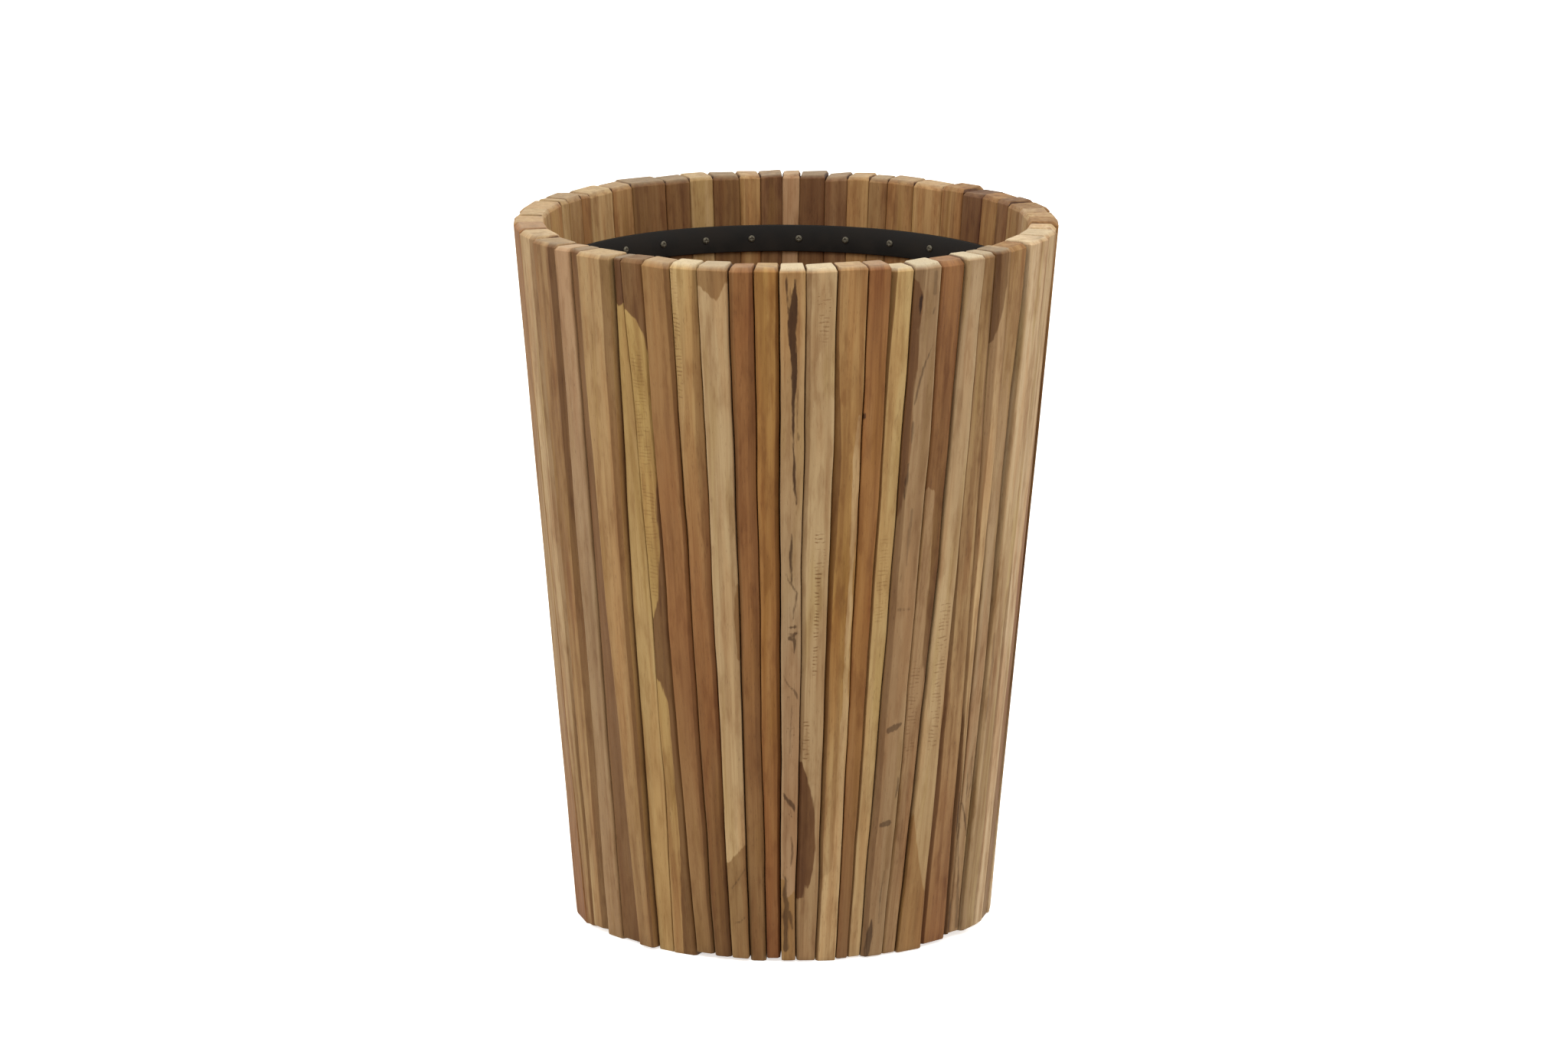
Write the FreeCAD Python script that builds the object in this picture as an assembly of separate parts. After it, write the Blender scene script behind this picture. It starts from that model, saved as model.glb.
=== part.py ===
import FreeCAD, Part
import math
import os

# A tall round planter made of teak slats that stand side by side like the staves of a tub.
# Two flat iron hoops run round the inside, one under the rim and one near the foot, and screws
# driven outwards through them hold every slat. A floor of five boards stands on the lower hoop.
# The origin is the middle of the ground under the planter, +Z is up and -Y is its front.
# Lengths are millimetres. Angles are degrees, turned from the front towards +X.

# Body
rim_diameter = 500.0
foot_diameter = 386.0
planter_height = 655.0

# Slats
slat_depth = 28.0
slat_gap = 0.5
outer_arris = 3.0
inner_arris = 1.2
proud_step = 4.0
drop_step = 1.0
lift_step = 1.0
bow_step = 2.0
rim_rounding = 4.0
foot_rounding = 1.5
first_rim_angle = -84.0
first_foot_angle = -81.0

# Iron hoops
hoop_width = 25.0
hoop_thickness = 3.0
hoop_clearance = 0.2
rim_hoop_drop = 60.2
base_hoop_height = 48.0

# Screws through the hoops
screw_spacing = 45.4
screw_head_diameter = 6.4
screw_head_height = 1.7
screw_dome_height = 1.2
screw_shank_diameter = 3.6
screw_point_cover = 10.2
screw_tip_length = 4.0
screw_tip_diameter = 0.8
screw_seat = 0.06
screw_slot_length = 3.6
screw_slot_width = 0.9
screw_slot_depth = 0.8
hoop_hole_clearance = 0.4
pilot_clearance = 0.1
first_screw_angle = 176.8

# Floor
board_count = 5
board_thickness = 15.0
board_gap = 5.0
board_arris = 1.5
floor_clearance = 1.2
floor_seat = 0.05
batten_width = 34.0
batten_thickness = 18.0
batten_spacing = 130.0
batten_clearance = 3.0
floor_screw_head_diameter = 8.0
floor_screw_head_height = 2.4
floor_screw_shank_diameter = 4.0
floor_screw_point_cover = 3.0
floor_screw_end_distance = 15.0

# One overrun serves every cut.
overrun = 1.0

# One row for each slat, from the left edge of the front round by the right and the back.
# The columns are its shares of the way round the rim and round the foot, both out of 360, then
# shares of the steps and the arris above: bow of its left joint, how far it stands proud, left
# arris, right arris, drop of its top below the rim, lift of its lower end above the ground.
slat_shares = [
    (8.0, 12.0, 0.0, 0.2, 0.8, 1.2, 0.5, 0.0),
    (9.5, 5.0, -0.6, 0.5, 2.0, 0.8, 1.0, 1.9),
    (9.0, 7.0, 0.5, 0.3, 0.7, 2.2, 2.0, 3.8),
    (5.5, 6.5, -0.4, -0.2, 1.0, 0.8, 1.6, 0.4),
    (3.7, 8.2, -0.5, -0.5, 0.5, 0.9, 1.4, 2.1),
    (9.1, 5.4, -1.3, 1.1, 0.7, 1.6, 0.8, 2.0),
    (2.2, 5.4, -2.6, -0.6, 0.5, 0.6, 1.8, 0.0),
    (5.7, 7.5, 3.0, -0.2, 0.6, 1.7, 0.9, 0.0),
    (6.5, 5.2, -1.0, 0.3, 0.8, 1.6, 0.3, 4.2),
    (6.3, 4.9, -0.5, 0.4, 1.9, 1.8, 0.2, 2.8),
    (6.3, 5.1, -0.3, 0.7, 0.9, 0.8, 0.0, 2.5),
    (5.5, 4.4, -0.2, -0.2, 1.3, 0.6, 0.8, 0.0),
    (5.3, 3.9, -0.2, 0.0, 1.8, 1.0, 0.2, 3.1),
    (5.5, 4.0, 0.0, 0.5, 0.7, 1.2, 0.0, 1.4),
    (6.7, 5.3, 0.2, 0.2, 1.6, 0.6, 0.3, 1.1),
    (6.5, 5.6, 0.3, 0.4, 1.4, 0.9, 0.2, 0.0),
    (5.1, 3.3, 0.3, 0.2, 0.5, 1.0, 0.1, 1.4),
    (5.3, 3.9, 0.7, -0.4, 1.5, 0.7, 4.4, 1.5),
    (6.4, 6.4, 0.4, 0.7, 2.2, 2.0, 1.6, 1.3),
    (6.4, 4.3, 1.7, 0.1, 1.2, 1.8, 2.4, 1.4),
    (5.0, 9.1, 1.9, 0.5, 0.7, 0.8, 1.2, 0.7),
    (4.2, 8.8, 0.2, -0.1, 0.6, 0.9, 1.6, 2.8),
    (5.3, 2.7, 1.3, 0.1, 1.0, 1.7, 1.0, 5.9),
    (7.0, 4.8, 1.7, -0.3, 1.6, 0.8, 1.4, 5.4),
    (8.5, 8.1, 0.0, 0.8, 1.5, 1.9, 0.6, 4.7),
    (9.5, 8.2, -0.3, 0.2, 1.0, 1.2, 0.9, 2.0),
    (6.5, 7.5, -1.4, -0.3, 1.4, 0.8, 1.9, 0.0),
    (6.5, 7.5, 0.6, 0.2, 0.9, 1.5, 0.7, 0.9),
    (6.0, 7.0, -0.5, 0.1, 1.2, 0.8, 1.3, 2.2),
    (5.2, 6.5, 0.9, -0.4, 0.7, 1.6, 0.8, 1.2),
    (8.1, 8.5, 0.3, 0.6, 1.8, 1.1, 1.5, 0.0),
    (5.7, 6.0, -0.8, 0.0, 0.8, 1.3, 0.4, 2.6),
    (6.8, 7.0, 0.7, -0.3, 1.4, 0.7, 1.1, 1.8),
    (7.2, 7.5, 1.1, 0.4, 0.9, 1.7, 2.1, 0.6),
    (6.9, 7.5, -0.6, 0.7, 1.6, 0.9, 0.6, 0.0),
    (8.7, 8.0, -1.2, -0.2, 1.1, 1.9, 1.2, 1.7),
    (6.9, 7.0, 0.4, 0.3, 0.8, 1.2, 0.4, 3.2),
    (5.1, 6.0, 0.8, -0.5, 1.3, 0.7, 0.9, 1.1),
    (5.3, 5.0, -0.4, 0.2, 1.7, 1.0, 0.1, 0.0),
    (5.5, 5.5, -0.9, 0.4, 0.9, 1.5, 0.5, 2.4),
    (6.5, 6.0, 0.5, 0.0, 1.2, 0.8, 0.2, 1.3),
    (4.1, 5.0, 1.0, -0.4, 0.7, 1.1, 0.0, 0.8),
    (5.2, 5.0, -0.3, 0.5, 1.5, 0.9, 0.3, 0.0),
    (5.4, 5.0, 0.6, 0.1, 1.0, 1.6, 0.7, 1.9),
    (6.4, 6.5, -0.7, -0.3, 0.8, 1.2, 0.2, 2.7),
    (6.0, 6.5, 0.4, 0.4, 1.8, 0.7, 0.6, 0.5),
    (6.6, 6.5, 0.9, 0.2, 1.1, 1.4, 1.1, 1.6),
    (10.1, 9.0, -0.5, 0.6, 1.3, 1.8, 0.4, 0.0),
    (6.4, 7.0, -1.0, -0.4, 0.7, 1.0, 0.9, 2.3),
    (8.3, 8.0, 0.7, 0.3, 1.6, 1.2, 1.3, 1.0),
    (3.7, 5.0, 0.3, 0.0, 0.9, 0.7, 1.7, 0.7),
    (6.4, 6.5, -0.8, 0.5, 1.4, 1.5, 1.0, 0.0),
    (4.1, 4.5, 0.5, -0.2, 0.8, 0.9, 0.5, 1.4),
    (9.4, 9.0, 1.0, 0.4, 1.9, 1.1, 1.4, 2.1),
    (8.5, 9.5, -0.4, -0.3, 1.0, 1.6, 0.8, 0.9),
    (8.5, 9.5, 0.6, 0.2, 1.2, 0.8, 1.2, 0.0),
]

# Heights of the cross-sections between the two ends, and how much of the bow each one takes.
station_shares = [0.25, 0.5, 0.75]
bow_shares = [0.7, 1.0, 0.7]

# Of a slat's width, the most that the rounding of its ends and each of its arrises may take.
rounding_limit_share = 0.2
arris_limit_share = 0.3

# The slats at the back stand two to a node, from the first to the last of these rows.
first_paired = 30
last_paired = 45

rim_radius = rim_diameter / 2
foot_radius = foot_diameter / 2
taper = math.atan2(rim_radius - foot_radius, planter_height)
rim_hoop_height = planter_height - rim_hoop_drop
screw_length = hoop_thickness + hoop_clearance + slat_depth - screw_point_cover
floor_screw_length = board_thickness + batten_thickness - floor_screw_point_cover
hoop_rise = hoop_width / 2 * math.cos(taper) + hoop_thickness * math.sin(taper)
board_bottom = base_hoop_height + hoop_rise + floor_seat
board_top = board_bottom + board_thickness
upright = FreeCAD.Vector(0, 0, 1)


def around(radius, angle, height):
    """The point at a radius, an angle from the front and a height."""
    turn = math.radians(angle)
    return FreeCAD.Vector(radius * math.sin(turn), -radius * math.cos(turn), height)


def sideways(angle):
    """Level direction that runs round the planter at an angle, towards larger angles."""
    turn = math.radians(angle)
    return FreeCAD.Vector(math.cos(turn), math.sin(turn), 0)


def wall_radius(height):
    """Radius of the planter's outside at a height."""
    return foot_radius + (rim_radius - foot_radius) * height / planter_height


def inner_radius(height):
    """Radius of the planter's inside at a height."""
    return wall_radius(height) - slat_depth


def joint_angles(column, first):
    """Angles of the joints between the slats at one end, from the shares in one column."""
    shares = [row[column] for row in slat_shares]
    angles = [first]
    for share in shares:
        angles.append(angles[-1] + share * 360 / sum(shares))
    return angles


rim_angles = joint_angles(0, first_rim_angle)
foot_angles = joint_angles(1, first_foot_angle)


def bow_at(height):
    """Share of the bow at a height, in straight runs between the cross-sections."""
    heights = [0, *(share * planter_height for share in station_shares), planter_height]
    shares = [0, *bow_shares, 0]
    for low, high, start, end in zip(heights, heights[1:], shares, shares[1:]):
        if height <= high:
            return start + (end - start) * (height - low) / (high - low)


def joint_angle(index, height):
    """Angle of the joint on the left of a slat: a straight line in space, a little bowed."""
    foot = around(foot_radius, foot_angles[index], 0)
    rim = around(rim_radius, rim_angles[index], 0)
    point = foot + (rim - foot) * (height / planter_height)
    angle = math.degrees(math.atan2(point.x, -point.y))
    # The arctangent loses whole turns, so they are put back.
    angle += 360 * round((foot_angles[index] - angle) / 360)
    bow = slat_shares[index % len(slat_shares)][2] * bow_step * bow_at(height)
    return angle + math.degrees(bow / wall_radius(height))


def slat_section(index, height, inset):
    """Outline of a slat across its length, drawn in by the inset on every side."""
    proud, left_arris, right_arris = slat_shares[index][3:6]
    left = joint_angle(index, height)
    right = joint_angle(index + 1, height)
    half = math.radians((right - left) / 2)
    outer = wall_radius(height) + proud * proud_step - inset
    inner = inner_radius(height) + inset
    side = slat_gap / 2 + inset
    width = 2 * (inner * math.tan(half) - side)
    left_arris = min(left_arris * outer_arris, width * arris_limit_share)
    right_arris = min(right_arris * outer_arris, width * arris_limit_share)
    along = sideways((left + right) / 2)

    def left_corner(radius):
        return around(radius / math.cos(half), left, height) + sideways(left) * side

    def right_corner(radius):
        return around(radius / math.cos(half), right, height) - sideways(right) * side

    points = [
        left_corner(inner) + along * inner_arris,
        right_corner(inner) - along * inner_arris,
        right_corner(inner + inner_arris),
        right_corner(outer - right_arris),
        right_corner(outer) - along * right_arris,
        left_corner(outer) + along * left_arris,
        left_corner(outer - left_arris),
        left_corner(inner + inner_arris),
    ]
    return Part.makePolygon(points + points[:1])


def slat_stations(index):
    """Heights and insets of a slat's cross-sections, with both of its ends eased."""
    drop, lift = slat_shares[index][6:8]
    top = planter_height - drop * drop_step
    foot = lift * lift_step
    half = math.radians(rim_angles[index + 1] - rim_angles[index]) / 2
    narrowest = 2 * inner_radius(planter_height) * math.tan(half)
    rounding = min(rim_rounding, narrowest * rounding_limit_share)
    # The middle of the rounding lies on a quarter circle, at 45 degrees.
    eased = rounding * (1 - math.cos(math.radians(45)))
    stations = [(foot, foot_rounding), (foot + foot_rounding, 0)]
    stations += [(share * planter_height, 0) for share in station_shares]
    stations += [(top - rounding, 0), (top - eased, eased), (top, rounding)]
    return stations


def make_slat(index, pilots):
    """One slat, in straight runs between its cross-sections, with the screws' pilot holes."""
    sections = [slat_section(index, height, inset) for height, inset in slat_stations(index)]
    slat = Part.makeLoft(sections, True, True)
    for pilot in pilots:
        if slat.BoundBox.intersect(pilot.BoundBox):
            slat = slat.cut(pilot)
    return slat


def round_hoop(shape, height):
    """Copies of a shape made along +Z, each set on the hoop's inner face and pointing out."""
    count = round(2 * math.pi * inner_radius(height) / screw_spacing)
    face = inner_radius(height) - hoop_clearance - hoop_thickness / math.cos(taper)
    lean = FreeCAD.Rotation(FreeCAD.Vector(1, 0, 0), 90 + math.degrees(taper))
    copies = []
    for step in range(count):
        angle = first_screw_angle + step * 360 / count
        turn = FreeCAD.Rotation(upright, angle).multiply(lean)
        copy = shape.copy()
        copy.Placement = FreeCAD.Placement(around(face, angle, height), turn)
        copies.append(copy)
    return copies


def make_hoop(height):
    """A flat iron strip bent into a hoop that leans with the wall, with its screw holes."""
    upwards = FreeCAD.Vector(math.sin(taper), 0, math.cos(taper))
    inwards = FreeCAD.Vector(-math.cos(taper), 0, math.sin(taper))
    middle = FreeCAD.Vector(inner_radius(height) - hoop_clearance, 0, height)
    low = middle - upwards * (hoop_width / 2)
    high = middle + upwards * (hoop_width / 2)
    points = [low, high, high + inwards * hoop_thickness, low + inwards * hoop_thickness]
    strip = Part.Face(Part.makePolygon(points + points[:1]))
    hoop = strip.revolve(FreeCAD.Vector(), upright, 360)
    hole = Part.makeCylinder(
        (screw_shank_diameter + hoop_hole_clearance) / 2,
        hoop_thickness + 2 * overrun,
        upright * -overrun,
    )
    return hoop.cut(round_hoop(hole, height))


def screw_head():
    """Domed head under a seat at the origin, with its crown towards -Z and a cross slot."""
    radius = screw_head_diameter / 2
    crown = -screw_seat - screw_head_height
    head = Part.makeCylinder(radius, screw_head_height, upright * crown)
    # A sphere through the head's edge and its crown shapes the dome.
    sphere_radius = (radius * radius + screw_dome_height * screw_dome_height) / (2 * screw_dome_height)
    head = head.common(Part.makeSphere(sphere_radius, upright * (crown + sphere_radius)))
    for turn in (0, 90):
        slot = Part.makeBox(
            screw_slot_length,
            screw_slot_width,
            screw_slot_depth + overrun,
            FreeCAD.Vector(-screw_slot_length / 2, -screw_slot_width / 2, crown - overrun),
        )
        slot.rotate(FreeCAD.Vector(), upright, turn)
        head = head.cut(slot)
    return head


def make_hoop_screw():
    """A round-head screw that points along +Z, with its seat at the origin."""
    straight = screw_length - screw_tip_length
    shank_radius = screw_shank_diameter / 2
    shank = Part.makeCylinder(shank_radius, straight + screw_seat, upright * -screw_seat)
    tip = Part.makeCone(shank_radius, screw_tip_diameter / 2, screw_tip_length, upright * straight)
    return screw_head().fuse([shank, tip]).removeSplitter()


def make_pilots(height):
    """Solids that cut the pilot holes of one hoop's screws into the slats."""
    radius = screw_shank_diameter / 2 + pilot_clearance
    return round_hoop(Part.makeCylinder(radius, screw_length + pilot_clearance), height)


def floor_radius():
    """Radius of the floor, clear of the slats at the boards' lower face."""
    return inner_radius(board_bottom) - floor_clearance


def board_pitch():
    """Distance from one floor board to the next."""
    return (2 * floor_radius() + board_gap) / board_count


def batten_half_length():
    """Half the length of a batten whose corners stay clear of the lower hoop's screws."""
    hoop_inside = inner_radius(base_hoop_height - hoop_width / 2) - hoop_clearance - hoop_thickness
    reach = hoop_inside - screw_head_height - batten_clearance
    return math.sqrt(reach**2 - (batten_spacing / 2 + batten_width / 2) ** 2)


def floor_fasteners(clearance):
    """The countersunk floor screws, level with the boards, or holes wider by a clearance."""
    head_radius = floor_screw_head_diameter / 2 + clearance
    shank_radius = floor_screw_shank_diameter / 2 + clearance
    length = floor_screw_length + clearance
    head_bottom = board_top - floor_screw_head_height
    head = Part.makeCone(shank_radius, head_radius, floor_screw_head_height, upright * head_bottom)
    shank = Part.makeCylinder(shank_radius, length, upright * (board_top - length))
    screw = head.fuse(shank).removeSplitter()
    # The outer boards reach past the battens' ends, so their screws stand further in.
    last = batten_half_length() - floor_screw_end_distance
    screws = []
    for step in range(board_count):
        y = (step - (board_count - 1) / 2) * board_pitch()
        y = max(-last, min(last, y))
        for x in (-batten_spacing / 2, batten_spacing / 2):
            screws.append(screw.translated(FreeCAD.Vector(x, y, 0)))
    return screws


def is_upper_long_edge(edge):
    """Whether an edge of a floor board runs along X at the board's upper face."""
    box = edge.BoundBox
    return box.ZMin > board_top - board_arris and box.YLength < board_arris < box.XLength


def make_board(step):
    """One floor board, cut to the round of the inside, with its upper long edges eased."""
    radius = floor_radius()
    corner = FreeCAD.Vector(-radius - overrun, step * board_pitch() - radius, board_bottom)
    width = board_pitch() - board_gap
    plank = Part.makeBox(2 * (radius + overrun), width, board_thickness, corner)
    board = plank.common(Part.makeCylinder(radius, board_thickness, upright * board_bottom))
    board = board.makeChamfer(board_arris, list(filter(is_upper_long_edge, board.Edges)))
    return board.cut(floor_fasteners(pilot_clearance))


def make_batten(side):
    """A batten across the underside of the floor boards, on the left or right of the middle."""
    half = batten_half_length()
    left = side * batten_spacing / 2 - batten_width / 2
    corner = FreeCAD.Vector(left, -half, board_bottom - batten_thickness)
    batten = Part.makeBox(batten_width, 2 * half, batten_thickness, corner)
    return batten.cut(floor_fasteners(pilot_clearance))


def slat_nodes(pilots):
    """The names and shapes of the slat nodes, those at the back in pairs."""
    nodes = {}
    for index in range(len(slat_shares)):
        if index < first_paired or index > last_paired:
            nodes[f"slat_{index + 1:02d}"] = make_slat(index, pilots)
    for index in range(first_paired, last_paired, 2):
        pair = [make_slat(index, pilots), make_slat(index + 1, pilots)]
        nodes[f"slats_{index + 1:02d}_{index + 2:02d}"] = Part.makeCompound(pair)
    return nodes


def hoop_nodes(name, height):
    """The names and shapes of one hoop and its screws."""
    screws = Part.makeCompound(round_hoop(make_hoop_screw(), height))
    return {f"{name}_hoop": make_hoop(height), f"{name}_hoop_screws": screws}


def floor_nodes():
    """The names and shapes of the floor's pieces."""
    nodes = {f"floor_board_{step + 1}": make_board(step) for step in range(board_count)}
    nodes["floor_batten_left"] = make_batten(-1)
    nodes["floor_batten_right"] = make_batten(1)
    nodes["floor_screws"] = Part.makeCompound(floor_fasteners(0))
    return nodes


os.makedirs("parts", exist_ok=True)
planter = slat_nodes(make_pilots(rim_hoop_height) + make_pilots(base_hoop_height))
planter |= hoop_nodes("rim", rim_hoop_height)
planter |= hoop_nodes("base", base_hoop_height)
planter |= floor_nodes()
for name, shape in planter.items():
    shape.exportStep(f"parts/{name}.step")
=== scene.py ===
# %% [markdown]
# # A teak slat planter
# This file dresses a tall round planter. Its wall is 56 upright teak slats, cut from offcuts of
# different logs, so no two have the same width, colour or edge. Two flat iron hoops hold them from
# inside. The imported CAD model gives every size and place. Each step below looks at one part of the
# real planter, says how it could be made, and makes it. Lengths are metres.

import math

import bmesh
import bpy
from mathutils import Matrix, Vector, noise


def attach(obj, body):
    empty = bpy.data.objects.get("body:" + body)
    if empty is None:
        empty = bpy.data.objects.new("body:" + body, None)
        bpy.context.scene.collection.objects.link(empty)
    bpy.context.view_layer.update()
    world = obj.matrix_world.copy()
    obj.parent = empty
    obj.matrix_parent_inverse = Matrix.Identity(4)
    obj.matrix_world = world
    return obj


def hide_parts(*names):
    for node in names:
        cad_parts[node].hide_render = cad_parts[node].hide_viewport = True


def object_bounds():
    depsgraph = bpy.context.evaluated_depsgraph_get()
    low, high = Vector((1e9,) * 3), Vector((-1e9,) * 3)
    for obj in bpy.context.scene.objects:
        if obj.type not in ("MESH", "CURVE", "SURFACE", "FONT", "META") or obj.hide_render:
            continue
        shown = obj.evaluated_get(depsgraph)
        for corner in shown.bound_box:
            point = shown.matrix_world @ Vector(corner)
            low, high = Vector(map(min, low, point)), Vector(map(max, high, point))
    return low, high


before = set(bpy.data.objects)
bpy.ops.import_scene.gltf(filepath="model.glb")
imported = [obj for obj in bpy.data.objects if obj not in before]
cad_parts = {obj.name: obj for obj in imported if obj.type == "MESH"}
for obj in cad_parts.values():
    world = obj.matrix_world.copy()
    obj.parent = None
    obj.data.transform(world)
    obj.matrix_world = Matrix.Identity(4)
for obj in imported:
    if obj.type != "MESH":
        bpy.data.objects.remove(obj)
cad_low, cad_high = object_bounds()
planter_height = cad_high.z
millimetre = 0.001
print("CAD box", [round(side, 4) for side in cad_high - cad_low])

# %% [markdown]
# ## Colours and nodes
# Colours are written as the hex values of a paint chart, and Blender works with linear light, so
# one function turns the one into the other. Another adds a shader node with its settings and
# links, which keeps every material below a plain list of what it does.

# %% A colour from a chart, turned linear
def linear(hex_colour):
    """A linear colour with alpha from an sRGB hex string."""
    channels = []
    for start in (0, 2, 4):
        value = int(hex_colour[start : start + 2], 16) / 255
        channels.append(value / 12.92 if value <= 0.04045 else ((value + 0.055) / 1.055) ** 2.4)
    return (*channels, 1.0)


# %% A node with its settings and links
def add_node(tree, kind, settings=None, inputs=None):
    """Adds a node, sets its properties, and gives its inputs values or links.

    A node given to an input stands for its first output."""
    node = tree.nodes.new("ShaderNode" + kind)
    for name, value in (settings or {}).items():
        setattr(node, name, value)
    for name, value in (inputs or {}).items():
        source = value.outputs[0] if isinstance(value, bpy.types.Node) else value
        if isinstance(source, bpy.types.NodeSocket):
            tree.links.new(source, node.inputs[name])
        else:
            node.inputs[name].default_value = source
    return node


# Settings that several nodes share
smooth = {"interpolation_type": "SMOOTHSTEP"}
multiply = {"operation": "MULTIPLY"}
multiply_add = {"operation": "MULTIPLY_ADD"}


# %% A tree to put nodes in
def empty_tree(owner):
    """Switches on the nodes of a material or world, and returns their tree with none in it."""
    owner.use_nodes = True
    owner.node_tree.nodes.clear()
    return owner.node_tree


# %% [markdown]
# ## The colours of the slats
# Teak offcuts run from cream sapwood to brown heartwood, and the sun and the oil turn each a little
# differently. Every slat gets a tone at the rim, one half way and one at the foot. On the front
# slats most of them are the tones nearest to what was measured on the photograph. The mesh carries
# them as a colour at each vertex, so one material serves all the slats and no slat shows a seam.

# %% Teak tones
tones = {
    "bone": "c6ac88",
    "butter": "bb9c70",
    "wheat": "b39562",
    "cream": "b3976f",
    "straw": "aa8b52",
    "sand": "a6885d",
    "oat": "a58a68",
    "tan": "a68253",
    "rose": "a5825f",
    "gold": "a1793f",
    "fawn": "9a7a55",
    "drift": "957957",
    "amber": "976935",
    "clay": "967245",
    "hazel": "8f6e45",
    "cinnamon": "8d6035",
    "russet": "885b33",
    "walnut": "7c5937",
    "coffee": "72502a",
    "umber": "684525",
}

# One row for each slat: its tones at the rim, half way and at the foot, and how strongly its grain
# shows. Slat 1 stands at the left, and the count goes round by the front, the right and the back.
slat_tones = [
    ("cinnamon", "sand", "russet", 0.7),
    ("cream", "cream", "clay", 1.0),
    ("hazel", "clay", "sand", 0.9),
    ("rose", "drift", "fawn", 0.6),
    ("coffee", "walnut", "coffee", 0.6),
    ("sand", "tan", "hazel", 0.7),
    ("straw", "wheat", "wheat", 0.7),
    ("straw", "straw", "tan", 0.8),
    ("clay", "cinnamon", "hazel", 0.7),
    ("wheat", "cinnamon", "coffee", 0.8),
    ("cream", "cream", "butter", 0.7),
    ("cinnamon", "cinnamon", "hazel", 0.8),
    ("gold", "amber", "russet", 0.9),
    ("tan", "oat", "rose", 0.7),
    ("cream", "cream", "fawn", 0.8),
    ("tan", "gold", "cream", 0.9),
    ("cinnamon", "amber", "walnut", 0.9),
    ("wheat", "wheat", "butter", 0.7),
    ("drift", "fawn", "drift", 0.6),
    ("cinnamon", "coffee", "oat", 0.9),
    ("oat", "cream", "sand", 0.7),
    ("hazel", "sand", "russet", 1.0),
    ("fawn", "butter", "coffee", 0.9),
    ("clay", "oat", "fawn", 0.9),
    ("bone", "cream", "oat", 0.9),
    ("cream", "bone", "bone", 0.9),
    ("bone", "cinnamon", "drift", 0.9),
    ("clay", "coffee", "bone", 0.9),
    ("cream", "russet", "bone", 1.0),
    ("oat", "sand", "rose", 0.9),
    ("hazel", "hazel", "clay", 1.0),
    ("walnut", "walnut", "coffee", 1.0),
    ("clay", "clay", "hazel", 1.0),
    ("umber", "coffee", "coffee", 1.1),
    ("clay", "russet", "russet", 1.2),
    ("tan", "tan", "clay", 1.0),
    ("clay", "cinnamon", "cinnamon", 1.1),
    ("hazel", "hazel", "hazel", 1.0),
    ("tan", "tan", "sand", 0.8),
    ("walnut", "walnut", "russet", 1.0),
    ("umber", "coffee", "umber", 1.0),
    ("rose", "rose", "rose", 0.9),
    ("walnut", "coffee", "coffee", 1.3),
    ("tan", "tan", "hazel", 1.2),
    ("coffee", "walnut", "umber", 0.9),
    ("sand", "sand", "tan", 0.9),
    ("coffee", "russet", "russet", 0.9),
    ("coffee", "coffee", "walnut", 1.0),
    ("clay", "hazel", "hazel", 1.0),
    ("sand", "sand", "sand", 0.9),
    ("clay", "walnut", "walnut", 0.9),
    ("hazel", "hazel", "fawn", 1.0),
    ("sand", "cream", "cream", 0.8),
    ("tan", "tan", "tan", 0.9),
    ("sand", "sand", "sand", 0.8),
    ("tan", "sand", "sand", 0.8),
]
slat_count = len(slat_tones)
print(slat_count, "slats,", len(tones), "tones")
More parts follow.
